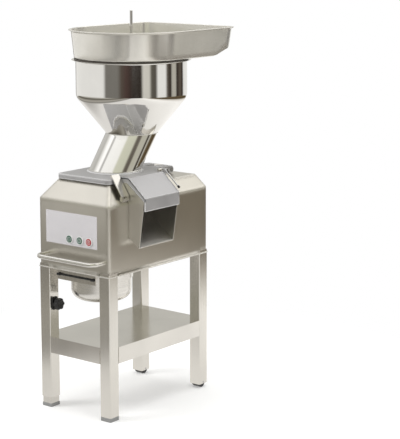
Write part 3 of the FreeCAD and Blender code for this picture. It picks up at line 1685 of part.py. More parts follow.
def make_catch_lever():
    """Slim lever that lies along the rear edge of the outlet hood, with a rubber tip at its lower end."""
    y = OUTLET_REAR + S.catch_gap
    x = HALF_WIDTH - S.catch_inset
    z = CREST + S.catch_lift
    wire = S.catch_wire
    half = wire / 2
    run, fall = S.catch_run, S.catch_fall
    lever = new_body("catch_lever", x, y, z)
    bar = [
        (0, -half),
        (S.catch_bend, -half),
        (run, -fall),
        (run + S.catch_end_run, S.catch_end_rise - fall),
        (S.catch_bend + 1, half),
        (0, half),
    ]
    pad(lever, outline(new_sketch(lever, "XZ"), bar), wire, both=True)
    pad(lever, circle(new_sketch(lever, "XZ"), S.catch_eye), wire, both=True)
    pocket(lever, circle(new_sketch(lever, "XZ"), S.catch_pin_radius + S.running_gap), both=True)
    slope = math.degrees(math.atan2((CREST - S.hood_chin).value, (S.hood_nose + S.hood_knee_inset).value))
    tip = new_body("catch_tip")
    turned = FreeCAD.Rotation(FreeCAD.Vector(0, 1, 0), slope + 90)
    tip.Placement = FreeCAD.Placement(FreeCAD.Vector(0, 0, 0), turned)
    place(tip, x + run + S.catch_tip_run, y, z - fall + S.catch_tip_rise)
    pad(tip, circle(new_sketch(tip, "XY"), S.catch_tip_radius), S.catch_tip_length)
    soften(tip, S.catch_tip_edge, lambda e: True)
    post = S.catch_post
    start = y - S.catch_post_start
    stand = box("Stand", x - post, start, CREST, x + post, start + S.catch_post_depth, z)
    pin = cylinder("Pin", S.catch_pin_radius, S.catch_post_start + wire, x, start, z, "y")
    ear = cylinder("Ear", post, S.catch_post_start - half - S.free_gap, x, start, z, "y")
    node(joined("catch_post", [stand, pin, ear]), "catch_post")


def make_electrics():
    low = PAN_LOW + S.sheet_wall
    front = REAR - S.box_inset
    left = S.box_inset_left - HALF_WIDTH
    right = HALF_WIDTH - S.box_inset_right
    contactor = box("Contactor", left, front, low, right, front + S.box_depth, low + S.box_height)
    node(contactor, "contactor_box")
    body = new_body("cable_gland", GLAND_X, REAR, S.gland_z)
    pad(body, circle(new_sketch(body, "XZ"), S.gland_neck), S.gland_inside)
    pad(body, circle(new_sketch(body, "XZ"), S.gland_radius), S.gland_outside, flip=True)
    pocket(body, circle(new_sketch(body, "XZ"), S.gland_bore), both=True)


make_legs()
make_shelf()
make_base_frame()
make_casing()
make_belly_pan()
make_chassis_plate()
make_feet()
make_rollers()
make_knob()
make_controls()
make_bow_handle()
make_chamber()
make_chute()
make_gears()
make_gear_case()
make_motor()
make_motor_cover()
make_disc_drive()
make_head_base()
make_hinge()
make_feed_tube()
make_hopper()
make_tray()
make_stirrer()
make_latch()
make_catch_lever()
make_electrics()
doc.recompute()

faults = []
for thing in doc.Objects:
    if {"Invalid", "Error"} & set(thing.State):
        faults.append(thing.Label)
if faults:
    raise RuntimeError(f"did not build: {faults}")
for thing in NODES:
    if thing.Shape.isNull() or not thing.Shape.isValid() or not thing.Shape.Solids:
        raise RuntimeError(f"{thing.Label} has no valid solid")
    thing.Shape.exportStep(f"parts/{thing.Label}.step")
    bounds = thing.Shape.BoundBox
    corners = (bounds.XMin, bounds.YMin, bounds.ZMin, bounds.XMax, bounds.YMax, bounds.ZMax)
    print(thing.Label, len(thing.Shape.Solids), [round(v, 1) for v in corners])
print(len(NODES), "nodes")
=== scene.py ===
# %% [markdown]
# # A vegetable cutter on its stand
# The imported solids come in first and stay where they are: they fix every size and every joint. On top of
# them come the surfaces that a viewer looks at longest, such as the spun hopper and the folded tray, and
# then a finish for every metal and plastic. All lengths are in metres.

# %% Load the solids
import json
import math

import bmesh
import bpy
import numpy as np
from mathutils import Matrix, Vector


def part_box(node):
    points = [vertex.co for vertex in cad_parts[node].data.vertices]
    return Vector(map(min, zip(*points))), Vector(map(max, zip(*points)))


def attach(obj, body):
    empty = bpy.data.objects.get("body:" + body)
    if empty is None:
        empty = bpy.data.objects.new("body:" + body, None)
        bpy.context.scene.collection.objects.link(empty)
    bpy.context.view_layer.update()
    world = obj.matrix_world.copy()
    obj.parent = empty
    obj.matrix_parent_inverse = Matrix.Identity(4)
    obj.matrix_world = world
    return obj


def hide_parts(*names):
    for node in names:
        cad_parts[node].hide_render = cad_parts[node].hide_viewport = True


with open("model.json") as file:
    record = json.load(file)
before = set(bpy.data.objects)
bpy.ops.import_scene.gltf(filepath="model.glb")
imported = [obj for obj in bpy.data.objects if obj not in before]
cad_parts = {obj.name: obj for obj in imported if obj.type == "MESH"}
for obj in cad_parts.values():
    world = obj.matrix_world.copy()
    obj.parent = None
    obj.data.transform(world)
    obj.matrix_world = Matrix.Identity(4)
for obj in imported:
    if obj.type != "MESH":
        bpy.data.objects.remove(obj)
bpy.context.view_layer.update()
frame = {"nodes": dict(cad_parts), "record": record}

nodes = frame["nodes"]
mm = 0.001

# %% [markdown]
# ## Turning arrays into meshes
# Every new piece is a grid of points: one direction runs along a profile, the other carries that profile
# round an axis or along a path. Neighbouring points become four-sided faces, worked out for the whole
# grid at once from its row and column numbers.


# %% Grid to mesh
def grid_faces(rows, columns, wrap_rows, wrap_columns):
    """Corner numbers of every face: point (i, j), its right neighbour, the one above that, and above (i, j)."""
    i = np.arange(rows if wrap_rows else rows - 1)
    j = np.arange(columns if wrap_columns else columns - 1)
    i, j = np.meshgrid(i, j, indexing="ij")
    up = (i + 1) % rows
    side = (j + 1) % columns
    corners = [i * columns + j, i * columns + side, up * columns + side, up * columns + j]
    return np.stack(corners, -1).reshape(-1, 4)


def capped(rows, columns):
    """Faces of a tube of rows, with one flat face over its first row and one over its last."""
    ends = [list(range(columns)), list(range((rows - 1) * columns, rows * columns))]
    return grid_faces(rows, columns, False, True).tolist() + ends


print("three rings of eight points make", len(capped(3, 8)), "faces")

# %% [markdown]
# ## From mesh to piece
# Points that fall together are merged, because a pole or a seam must be closed before the faces can be
# turned outwards. The piece is then shaded smooth up to an edge angle, and it rides on one of the bodies
# that the joints move, so that it goes where the real metal goes.


# %% Add a piece
def add_piece(name, points, faces, body, stands_for=(), sharp=35):
    """Makes the mesh, turns its faces outwards, smooths it up to an edge angle and lets it ride on a body."""
    mesh = bpy.data.meshes.new(name)
    mesh.from_pydata(np.asarray(points, float).reshape(-1, 3).tolist(), [], [list(f) for f in faces])
    work = bmesh.new()
    work.from_mesh(mesh)
    bmesh.ops.remove_doubles(work, verts=work.verts, dist=1e-6)
    bmesh.ops.recalc_face_normals(work, faces=work.faces)
    work.to_mesh(mesh)
    work.free()
    mesh.shade_smooth()
    mesh.set_sharp_from_angle(angle=math.radians(sharp))
    piece = bpy.data.objects.new(name, mesh)
    bpy.context.scene.collection.objects.link(piece)
    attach(piece, body)
    if stands_for:
        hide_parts(*stands_for)
    return piece


# %% [markdown]
# ## Profiles with rounded corners
# Sheet metal has no knife edges. A profile is written as a few corners with a bend radius each, and every
# corner is then swapped for an arc that touches both of its straight runs.


# %% Round a profile
def rounded(corners, radii, closed=True, steps=8):
    """Swaps each corner for an arc: it starts and ends radius / tan(half the corner's angle) away from the
    corner, and its points are spread at equal angles round a centre on the corner's bisector."""
    corners = np.asarray(corners, float)
    count = len(corners)
    out = []
    for k in range(count):
        here = corners[k]
        if not closed and k in (0, count - 1) or radii[k] <= 0:
            out.append(here[None])
            continue
        before = corners[k - 1] - here
        after = corners[(k + 1) % count] - here
        before /= np.linalg.norm(before)
        after /= np.linalg.norm(after)
        half = math.acos(np.clip(before @ after, -1, 1)) / 2
        middle = before + after
        middle /= np.linalg.norm(middle)
        centre = here + middle * radii[k] / math.sin(half)
        start = here + before * radii[k] / math.tan(half) - centre
        end = here + after * radii[k] / math.tan(half) - centre
        sweep = math.acos(np.clip(start @ end / radii[k] ** 2, -1, 1))
        t = np.linspace(0, 1, steps + 1)[:, None]
        out.append(centre + (start * np.sin((1 - t) * sweep) + end * np.sin(t * sweep)) / math.sin(sweep))
    return np.concatenate(out)


print("a square with four bends has", len(rounded([(0, 0), (1, 0), (1, 1), (0, 1)], [0.1] * 4)), "points")

# %% [markdown]
# ## Carrying a profile
# A spun bowl, a bent bar, a thick bar and a turned knob differ only in how their profile travels: round an
# upright line, along a level path, straight across, or round a level axis. One function does each of them.


# %% Carry a profile
def lathe(profile, centre, steps=192):
    """Carries a closed (radius, height) profile round the upright line through centre."""
    turn = np.linspace(0, 2 * np.pi, steps, endpoint=False)
    radius, height = profile[:, 0, None], profile[:, 1, None]
    x = centre[0] + radius * np.cos(turn)
    y = centre[1] + radius * np.sin(turn)
    z = np.broadcast_to(height, x.shape)
    return np.stack([x, y, z], -1), grid_faces(len(profile), steps, True, True)


def bar_along(path, radius, height, closed, sides=28):
    """Round bar along a level path: p(i, a) = path(i) + r cos(a) normal(i), z(i, a) = height + r sin(a)."""
    tangent = np.roll(path, -1, 0) - np.roll(path, 1, 0) if closed else np.gradient(path, axis=0)
    tangent /= np.linalg.norm(tangent, axis=1, keepdims=True)
    normal = np.stack([-tangent[:, 1], tangent[:, 0]], -1)
    angle = np.linspace(0, 2 * np.pi, sides, endpoint=False)
    xy = path[:, None] + normal[:, None] * (radius * np.cos(angle))[None, :, None]
    z = np.broadcast_to(height + radius * np.sin(angle), xy.shape[:2])
    faces = grid_faces(len(path), sides, True, True) if closed else capped(len(path), sides)
    return np.concatenate([xy, z[..., None]], -1), faces


def extruded(outline, low, high, axis):
    """Carries a closed outline straight from low to high along one axis and closes both ends."""
    points = np.zeros((2, len(outline), 3))
    across = [k for k in range(3) if k != axis]
    points[:, :, across] = outline
    points[0, :, axis] = low
    points[1, :, axis] = high
    return points, capped(2, len(outline))


def turned(along, radius, centre, axis, steps):
    """Rings round a level axis: ring i lies at along(i), with the radius of row i at each equal angle."""
    angle = np.linspace(0, 2 * np.pi, steps, endpoint=False)
    across = [k for k in range(3) if k != axis]
    points = np.empty((len(along), steps, 3))
    points[..., axis] = along[:, None]
    points[..., across[0]] = centre[0] + radius * np.cos(angle)
    points[..., across[1]] = centre[1] + radius * np.sin(angle)
    return points


def soft_edges(piece, width, segments=3):
    """A live bevel that rounds every edge sharper than 30 degrees, as casting and tumbling leave them."""
    bevel = piece.modifiers.new("Bevel", "BEVEL")
    bevel.width = width
    bevel.segments = segments
    bevel.limit_method = "ANGLE"


print("ways to carry a profile", [way.__name__ for way in (lathe, bar_along, extruded, turned)])

# %% [markdown]
# ## Places shared by several pieces
# Where the solids have a box of their own, places are read from it, so that the surfaces stay in step with
# the CAD. The lid's levels and the round opening lie inside one large casting, so they are written here.

# %% Shared places
hopper_low, hopper_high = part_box("hopper")
hopper_y = (hopper_low[1] + hopper_high[1]) / 2
neck_z = hopper_low[2]
flange_z = hopper_high[2]
SHEET = 1.5 * mm
NECK_RADIUS = 88.5 * mm
LID_BOTTOM = 790 * mm
LID_TOP = 807 * mm
COLLAR_TOP = 810 * mm
OPENING = np.array([0, -65 * mm])
print("hopper axis at y", round(hopper_y, 4), "flange at z", round(flange_z, 4))

# %% [markdown]
# ## The hopper
# A hopper like this is spun from one round blank: flange, straight wall, a soft knee and a cone. A lathe
# surface repeats that exactly, and with 192 steps its reflections stay smooth.

# %% Spin the hopper
flange_radius, wall_radius = 204 * mm, 190 * mm
cone_foot, cone_foot_inside = NECK_RADIUS + 2.5 * mm, NECK_RADIUS - 1 * mm
knee_z = 1053 * mm
knee_bend, flange_bend, rim_bend = 40 * mm, 3.5 * mm, 0.6 * mm
corners = [
    (flange_radius, flange_z),
    (wall_radius - SHEET, flange_z),
    (wall_radius - SHEET, knee_z + 1 * mm),
    (cone_foot_inside, neck_z),
    (cone_foot, neck_z),
    (wall_radius, knee_z),
    (wall_radius, flange_z - SHEET),
    (flange_radius, flange_z - SHEET),
]
inside_bends = [rim_bend, flange_bend - SHEET, knee_bend - SHEET, 0]
profile = rounded(corners, inside_bends + [0, knee_bend, flange_bend, rim_bend])
points, faces = lathe(profile, (0, hopper_y))
add_piece("spun_hopper", points, faces, "feed_head", ["hopper"])
print("hopper faces", len(faces))

# %% [markdown]
# ## The leaning tube
# The tube's rings stay level while their centres walk from the lid's opening up to the cone, so it is a
# sheared cylinder. The rings go up outside and come down inside, which gives the sheet its thickness.

# %% Lean the tube
turn = np.linspace(0, 2 * np.pi, 160, endpoint=False)
climb = np.linspace(0, 1, 25)
heights = COLLAR_TOP + (neck_z - COLLAR_TOP) * climb
centres_y = OPENING[1] + (hopper_y - OPENING[1]) * climb


def level_ring(radius, centre_y, height):
    """Points of a level circle about the mid-plane: x = r cos, y = centre + r sin, z fixed."""
    x = radius * np.cos(turn)
    y = centre_y + radius * np.sin(turn)
    return np.stack([x, y, np.full_like(x, height)], -1)


outside = [level_ring(NECK_RADIUS, y, z) for y, z in zip(centres_y, heights)]
inside = [level_ring(NECK_RADIUS - SHEET, y, z) for y, z in zip(centres_y[::-1], heights[::-1])]
rings = np.array(outside + inside)
tube_faces = grid_faces(len(rings), len(turn), True, True)
add_piece("leaning_tube", rings, tube_faces, "feed_head", ["feed_tube"])
print("tube rings", rings.shape)

# %% [markdown]
# ## The two welds
# A bead of weld hides the joint at each end of the tube, as on the real part. It is a thin ring whose
# section swells and shrinks a little on its way round, like the drops that a welder lays side by side.

# %% Lay the welds
bead = np.linspace(0, 2 * np.pi, 12, endpoint=False)
drops, swell = 46, 0.12
ripple = 1 + swell * np.sin(turn * drops)
for name, centre_y, height, radius, size in (
    ("neck_weld", hopper_y, neck_z - 0.4 * mm, NECK_RADIUS + 0.8 * mm, 2.0 * mm),
    ("foot_weld", OPENING[1], COLLAR_TOP + 1 * mm, NECK_RADIUS + 0.3 * mm, 2.2 * mm),
):
    r = radius + size * np.cos(bead)[:, None] * ripple
    z = height + size * np.sin(bead)[:, None] * ripple
    weld = np.stack([r * np.cos(turn), centre_y + r * np.sin(turn), z], -1)
    add_piece(name, weld, grid_faces(len(bead), len(turn), True, True), "feed_head")
    print(name, "at height", round(height, 4))

# %% [markdown]
# ## The feeding tray
# Seen from above the tray is a half circle with two straight sides and a rounded square back. Real trays
# are folded and welded from a few sheets. Here one outline is drawn once, and every row of the pan is that
# outline made a little larger or smaller, so the surface has no seams to hide.


# %% Draw the tray's outline
def horseshoe(radius, back, corner):
    """Half circle from the left round the front to the right, then side, corner arc, back, corner arc, side."""
    front = np.linspace(np.pi, 2 * np.pi, 97)
    first = np.stack([radius * np.cos(front), radius * np.sin(front)], -1)
    along = np.linspace(0, 1, 26)[1:-1]
    bend = np.linspace(0, np.pi / 2, 13)
    side_y = along * (back - corner)
    right = np.stack([np.full_like(side_y, radius), side_y], -1)
    arc = np.stack([radius - corner + corner * np.cos(bend), back - corner + corner * np.sin(bend)], -1)
    rear_x = (radius - corner) * (1 - 2 * along)
    rear = np.stack([rear_x, np.full_like(rear_x, back)], -1)
    other = arc[::-1] * [-1, 1]
    left = right[::-1] * [-1, 1]
    return np.concatenate([first, right, arc, rear, other, left])


tray_y = hopper_y
tray_floor = 1185 * mm
tray_height = 97 * mm
tray_radius, tray_back, tray_corner = 195 * mm, 346 * mm - tray_y, 40 * mm
side_flare, back_flare = 10 * mm, 8 * mm
print("tray outline has", len(horseshoe(tray_radius, tray_back, tray_corner)), "points")

# %% [markdown]
# ## Rows of the tray
# A row is the outline at one height of the wall, the collar's circle, or something between the two on the
# floor. Past the hopper the floor climbs towards the back, so every row is lifted to a ramp there.


# %% Place the tray's rows
ramp_length, ramp_slope = 112 * mm, 37 / 114


def lifted(outline, height, base):
    """Adds the height to flat points, and lifts those near the back to a ramp that starts at the base."""
    ramp = base + np.clip((outline[:, 1] - (tray_back - ramp_length)) * ramp_slope, 0, None)
    z = np.maximum(height, ramp)
    return np.stack([outline[:, 0], outline[:, 1] + tray_y, z + tray_floor], -1)


def tray_row(height, inset, base):
    """The outline at a height: radius and back grow by the flare, and no point lies below the ramp."""
    flare = np.clip(height / tray_height, 0, 1)
    radius = tray_radius + side_flare * flare - inset
    back = tray_back - back_flare * (1 - flare) - inset
    return lifted(horseshoe(radius, back, tray_corner - inset), height, base)


def round_outline(radius):
    """A circle whose points lie in the same directions as the outline's, so rows still match."""
    outline = horseshoe(tray_radius, tray_back, tray_corner)
    return outline / np.linalg.norm(outline, axis=1, keepdims=True) * radius


def collar_row(radius, height):
    """The collar's circle at one height, with no ramp."""
    circle = round_outline(radius)
    return np.column_stack([circle[:, 0], circle[:, 1] + tray_y, np.full(len(circle), height + tray_floor)])


def floor_rows(radius, inset, base, count=10):
    """Rows that widen from the collar's circle to the outline, lying on the floor and its ramp."""
    inner = round_outline(radius)
    outer = horseshoe(tray_radius - inset, tray_back - back_flare - inset, tray_corner - inset)
    return [lifted(inner + (outer - inner) * share, base, base) for share in np.linspace(0, 1, count)]


print("ramp rises", round(ramp_length * ramp_slope, 4))

# %% [markdown]
# ## Folding the pan
# One closed loop of rows makes the whole pan. It starts under the collar and runs along the underside, up
# the flared wall, round the turned-out lip, and back down inside to the collar.

# %% Fold the tray
quarter = np.linspace(0, np.pi / 2, 7)
half_turn = np.linspace(-np.pi / 2, np.pi / 2, 9)
collar_radius, collar_foot = 186.5 * mm, -14 * mm
edge, inner_edge = 5 * mm, 5 * mm - SHEET
lip, lip_half = 6.5 * mm, 1.5 * mm
wall_heights = np.array([20, 45, 70, 90]) * mm


def lip_row(a):
    """Row of the lip's half-round edge at angle a from straight out."""
    return tray_row(tray_height, -lip - lip_half * math.cos(a), 0) + [0, 0, lip_half * (math.sin(a) - 1)]


rows = [collar_row(collar_radius, collar_foot), collar_row(collar_radius, -1.5 * mm)]
rows += floor_rows(collar_radius + 1.2 * mm, edge, 0)
rows += [tray_row(edge * (1 - math.cos(b)), edge * (1 - math.sin(b)), 0) for b in quarter]
rows += [tray_row(h, 0, 0) for h in wall_heights]
rows += [lip_row(a) for a in half_turn]
rows += [tray_row(tray_height, SHEET * 0.4, 0), tray_row(tray_height - 1 * mm, SHEET, SHEET)]
rows += [tray_row(h, SHEET, SHEET) for h in wall_heights[::-1]]
for b in quarter[::-1]:
    height, inset = SHEET + inner_edge * (1 - math.cos(b)), SHEET + inner_edge * (1 - math.sin(b))
    rows.append(tray_row(height, inset, SHEET))
rows += floor_rows(collar_radius - 0.4 * mm, edge, SHEET)[::-1]
rows += [collar_row(collar_radius - SHEET, -0.5 * mm), collar_row(collar_radius - SHEET, collar_foot)]
rows = np.array(rows)
add_piece("folded_tray", rows, grid_faces(len(rows), rows.shape[1], True, True), "tray", ["feed_tray"])
print("tray grid", rows.shape)

# %% [markdown]
# ## The cover below the motor
# Deep drawing leaves a bowl with a generous bottom radius, a step and a flange. The profile goes out along
# the underside and comes back inside, and a lathe turns it into the bowl.

# %% Draw the cover
cover_low, cover_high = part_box("motor_cover")
cover_y = (cover_low[1] + cover_high[1]) / 2
cover_foot, cover_head = cover_low[2], cover_high[2]
pole, bowl_radius, step_radius, rim_radius = 0.001 * mm, 103 * mm, 108 * mm, 114 * mm
step_z, bowl_bend = 452 * mm, 36 * mm
under = [
    (pole, cover_foot),
    (bowl_radius, cover_foot),
    (bowl_radius, step_z),
    (step_radius, step_z),
    (step_radius, cover_head - SHEET),
    (rim_radius, cover_head - SHEET),
]
within = [
    (rim_radius, cover_head),
    (step_radius - SHEET, cover_head),
    (step_radius - SHEET, step_z + SHEET),
    (bowl_radius - SHEET, step_z + SHEET),
    (bowl_radius - SHEET, cover_foot + SHEET),
    (pole, cover_foot + SHEET),
]
step_bends = np.array([2, 2, 2, 0.5, 0.5, 1, 1, 1]) * mm
profile = rounded(under + within, [0, bowl_bend, *step_bends, bowl_bend - SHEET, 0])
points, faces = lathe(profile, (0, cover_y))
add_piece("drawn_cover", points, faces, "stand", ["motor_cover"])
print("cover faces", len(faces))

# %% [markdown]
# ## The bow handle
# A round bar bent in a flat bow. The section is a circle whose plane always stands square to the path.

# %% Bend the handle
handle_low, handle_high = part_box("bow_handle")
bar = (handle_high[2] - handle_low[2]) / 2
handle_z = (handle_high[2] + handle_low[2]) / 2
left, right = handle_low[0] + bar, handle_high[0] - bar
root, grip = handle_high[1], handle_low[1] + bar
handle_bend = 28 * mm
bow = [(left, root), (left, grip), (right, grip), (right, root)]
path = rounded(bow, [0, handle_bend, handle_bend, 0], closed=False, steps=14)
add_piece("bent_handle", *bar_along(path, bar, handle_z, False), "stand", ["bow_handle"], sharp=50)
print("handle path points", len(path))

# %% [markdown]
# ## The casing's lower edge
# The lower edge of a casing is usually rolled over, so that no hand meets a cut edge. A thin closed bar
# that follows the casing's outline gives that round edge its highlight.

# %% Roll the casing's lower edge
casing_low, casing_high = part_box("casing")
hem_radius, hem_rise, casing_bend = 1.8 * mm, 2 * mm, 10 * mm
plan = [(casing_low[0], casing_low[1]), (casing_high[0], casing_low[1])]
plan += [(casing_high[0], casing_high[1]), (casing_low[0], casing_high[1])]
path = rounded(plan, [casing_bend] * 4)
add_piece("rolled_hem", *bar_along(path, hem_radius, casing_low[2] + hem_rise, True, 12), "stand")
print("hem path points", len(path))

# %% [markdown]
# ## The lid of the feed head
# The lid is a sand casting: a thick plate with soft corners, a round opening with a low collar, a hood over
# the outlet and two arms that end in domed lugs. Each becomes its own smooth surface, and the plate comes
# first, as rows that run from the opening out to the rounded rectangle.


# %% Cast the lid plate
def lid_outline(inset):
    """Rounded rectangle of the plate, pulled in by an inset, with its sides divided evenly."""
    x, front, rear = 117.5 * mm - inset, -232 * mm + inset, 82 * mm - inset
    corner = max(20 * mm - inset, 4 * mm)
    plate = rounded([(x, rear), (-x, rear), (-x, front), (x, front)], [corner] * 4, steps=12)
    spread = [np.linspace(a, b, 18, endpoint=False) for a, b in zip(plate, np.roll(plate, -1, axis=0))]
    return np.concatenate(spread)


def lid_row(inset, height):
    """The plate's outline at one height."""
    outline = lid_outline(inset)
    return np.column_stack([outline, np.full(len(outline), height)])


def opening_row(radius, height):
    """A circle round the opening, with its points in the directions of the plate's outline."""
    away = lid_outline(0) - OPENING
    ring = OPENING + away / np.linalg.norm(away, axis=1, keepdims=True) * radius
    return np.column_stack([ring, np.full(len(ring), height)])


bore, collar, chamfer, edge_bend = 86 * mm, 93.5 * mm, 0.4 * mm, 3 * mm
rows = [opening_row(bore, LID_BOTTOM), opening_row(bore, COLLAR_TOP - chamfer)]
rows += [opening_row(bore + chamfer, COLLAR_TOP), opening_row(collar - chamfer, COLLAR_TOP)]
rows += [opening_row(collar, COLLAR_TOP - chamfer), opening_row(collar + 0.5 * mm, LID_TOP)]
inner = opening_row(collar + 1.5 * mm, LID_TOP)
outer = lid_row(edge_bend, LID_TOP)
rows += [inner + (outer - inner) * s for s in np.linspace(0, 1, 6)]
rows += [lid_row(edge_bend * (1 - math.sin(b)), LID_TOP - edge_bend * (1 - math.cos(b))) for b in quarter[1:]]
rows += [lid_row(0, LID_BOTTOM + 1 * mm), lid_row(0.7 * mm, LID_BOTTOM + 0.2 * mm), lid_row(2 * mm, LID_BOTTOM)]
rows = np.array(rows)
add_piece("lid_plate", rows, grid_faces(len(rows), rows.shape[1], True, True), "feed_head", ["head_base"])
print("lid grid", rows.shape)

# %% [markdown]
# ## The outlet's hood
# The hood is a bent plate with turned-down rims at its two sides. Both outlines are carried straight
# across, and a small bevel rounds the edges as on a casting.

# %% Cast the hood
hood_front, hood_rear = -175 * mm, 3 * mm
plate, cast_edge = 4 * mm, 0.8 * mm
knee, nose = 155 * mm, 226 * mm
nose_top, nose_foot, hood_under = 748 * mm, 705 * mm, 805 * mm
heel, toe, seat = 100.5 * mm, 116.5 * mm, 799 * mm
hood_line = [
    (heel, seat),
    (heel, COLLAR_TOP),
    (knee, COLLAR_TOP),
    (nose, nose_top),
    (nose, nose_foot),
    (nose - plate, nose_foot),
    (nose - plate, nose_top - 2 * mm),
    (knee - 2 * mm, hood_under),
    (toe, hood_under),
    (toe, seat),
]
outline = rounded(hood_line, np.array([0, 0, 6, 4, 0.8, 0.8, 2, 4, 0, 0]) * mm, steps=5)
hood = add_piece("outlet_hood", *extruded(outline, hood_front, hood_rear, 1), "feed_head", ["head_base"])
soft_edges(hood, cast_edge)
rim_root, rim_foot, rim_nose = 115.5 * mm, 793 * mm, 736 * mm
rim_line = [
    (rim_root, COLLAR_TOP),
    (knee, COLLAR_TOP),
    (nose, nose_top),
    (nose, rim_nose),
    (nose - plate, rim_nose),
    (knee - 6 * mm, rim_foot),
    (rim_root, rim_foot),
]
rim = rounded(rim_line, np.array([0, 6, 4, 0, 0, 4, 0]) * mm, steps=5)
for name, low in (("hood_rim_front", hood_front), ("hood_rim_rear", hood_rear - plate)):
    piece = add_piece(name, *extruded(rim, low, low + plate, 1), "feed_head", ["head_base"])
    soft_edges(piece, cast_edge)
print("hood outline has", len(outline), "points")

# %% [markdown]
# ## The two arms
# Each arm is a thick bar from the plate to the hinge pin, and its end is a dome about that pin. The bevel is
# wide here, because these castings have hardly a flat side left.

# %% Cast the arms
lug_y, lug_z, lug = 172 * mm, 784.5 * mm, 14 * mm
arm_start, arm_neck, arm_width = 70 * mm, 150 * mm, 34 * mm
sweep = np.radians(np.linspace(-180, 90, 28))
dome = np.stack([lug_y + lug * np.cos(sweep), lug_z + lug * np.sin(sweep)], -1)
arm_foot = [(arm_start, LID_BOTTOM), (arm_neck, LID_BOTTOM)]
arm_outline = np.concatenate([arm_foot, dome, [(arm_start, LID_TOP)]])
for name, low in (("arm_left", -53 * mm), ("arm_right", 19 * mm)):
    piece = add_piece(name, *extruded(arm_outline, low, low + arm_width, 0), "feed_head", ["head_base"])
    soft_edges(piece, 10 * mm, 7)
print("arm outline has", len(arm_outline), "points")

# %% [markdown]
# ## The knob
# Six lobes round a moulded grip: the radius swings with the cosine of six times the angle, and the rim is
# rounded over at both faces. The profile is a list of rings, each with its share of that radius and its
# depth in millimetres below the front face.

# %% Mould the knob
knob_low, knob_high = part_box("clamp_knob")
knob_centre = (knob_low[1] + knob_high[1]) / 2, (knob_low[2] + knob_high[2]) / 2
face_x = knob_high[0]
lobes, lobe_radius, lobe_swing = 6, 18.9 * mm, 1.8 * mm
around = np.linspace(0, 2 * np.pi, 96, endpoint=False)
knob_rings = [(0.02, 1.2), (0.3, 1.2), (0.55, 0.8), (0.62, 0), (0.8, 0), (0.93, 0.7), (0.99, 2.4), (1, 4)]
knob_rings += [(1, 14), (0.97, 17.2), (0.88, 18.8), (0.7, 19), (0.02, 19)]
share, depth = np.array(knob_rings).T
radius = share[:, None] * (lobe_radius + lobe_swing * np.cos(lobes * around))
grip = turned(face_x - depth * mm, radius, knob_centre, 0, len(around))
add_piece("lobed_knob", grip, capped(len(grip), len(around)), "knob", ["clamp_knob"])
print("knob lobes", lobes)

# %% [markdown]
# ## The knob's stud
# A stud's thread is a helix, but at this size a row of round grooves with the same pitch looks alike. The
# radius simply rises and falls along the axis.

# %% Thread the stud
thread_radius, thread_depth, pitch = 4.6 * mm, 0.4 * mm, 1.5 * mm
thread_sides = 24
back_x = face_x - depth[-1] * mm
along = np.linspace(back_x, knob_low[0], 50)
radius = thread_radius + thread_depth * np.cos((along - back_x) / pitch * 2 * np.pi)
thread = turned(along, radius[:, None], knob_centre, 0, thread_sides)
add_piece("knob_stud", thread, capped(len(thread), thread_sides), "knob", ["clamp_knob"])
print("stud rings", len(along))

# %% [markdown]
# ## The buttons
# Each cap is a shallow dish on a short stem, with a white ring let into its face. Both profiles are pairs
# of a radius and a depth below the face, in millimetres.

# %% Press the buttons
marks = {"one": "1", "two": "2", "stop": "0"}
dish = [(0.01, 0.8), (6, 0.7), (9, 0.4), (10.2, 0.05), (11, 0.12), (11.4, 0.5), (11.5, 1.1), (11.5, 2.6)]
stem = [(3, 2.6), (3, 24.5), (0.01, 24.5)]
inlay = [(6.4, 0.25), (7.6, 0.25), (7.6, 1.0), (6.4, 1.0)]
button_sides = 64


def button_rings(profile, name):
    """Carries a (radius, depth) profile in millimetres round the axis of one button."""
    low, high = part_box(f"button_{name}")
    radius, depth = np.array(profile).T * mm
    centre = (low[0] + high[0]) / 2, (low[2] + high[2]) / 2
    return turned(low[1] + depth, radius[:, None], centre, 1, button_sides)


white_pieces = []
for name in marks:
    button = f"button_{name}"
    cap = button_rings(dish + stem, name)
    add_piece(f"cap_{name}", cap, capped(len(cap), button_sides), button, [button])
    ring = button_rings(inlay, name)
    ring_faces = grid_faces(len(ring), button_sides, True, True)
    white_pieces.append(add_piece(f"ring_{name}", ring, ring_faces, button))
print("buttons", list(marks))

# %% [markdown]
# ## Plain numbers on the buttons
# Each number is a text object made into a mesh, because only meshes carry over to the exported model. Its
# points are then stood upright and moved to the button's face in one step for the whole array.


# %% Set the numbers
def number_mesh(name, digit):
    """The mesh of one flat number, drawn about the origin in the level plane."""
    words = bpy.data.curves.new(name, "FONT")
    words.body = digit
    words.size = 9.5 * mm
    words.extrude = 0.25 * mm
    words.align_x = "CENTER"
    words.align_y = "CENTER"
    holder = bpy.data.objects.new(f"{name}_text", words)
    bpy.context.scene.collection.objects.link(holder)
    bpy.context.view_layer.update()
    shape = bpy.data.meshes.new_from_object(holder.evaluated_get(bpy.context.evaluated_depsgraph_get()))
    bpy.data.objects.remove(holder)
    return shape


number_depth = 0.45 * mm
for name, digit in marks.items():
    low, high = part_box(f"button_{name}")
    shape = number_mesh(f"digit_{name}", digit)
    flat = np.empty(len(shape.vertices) * 3)
    shape.vertices.foreach_get("co", flat)
    x, y, z = flat.reshape(-1, 3).T
    upright = [(low[0] + high[0]) / 2 + x, low[1] + number_depth - z, (low[2] + high[2]) / 2 + y]
    shape.vertices.foreach_set("co", np.stack(upright, -1).ravel())
    number = bpy.data.objects.new(f"digit_{name}", shape)
    bpy.context.scene.collection.objects.link(number)
    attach(number, f"button_{name}")
    white_pieces.append(number)
print("white pieces", len(white_pieces))

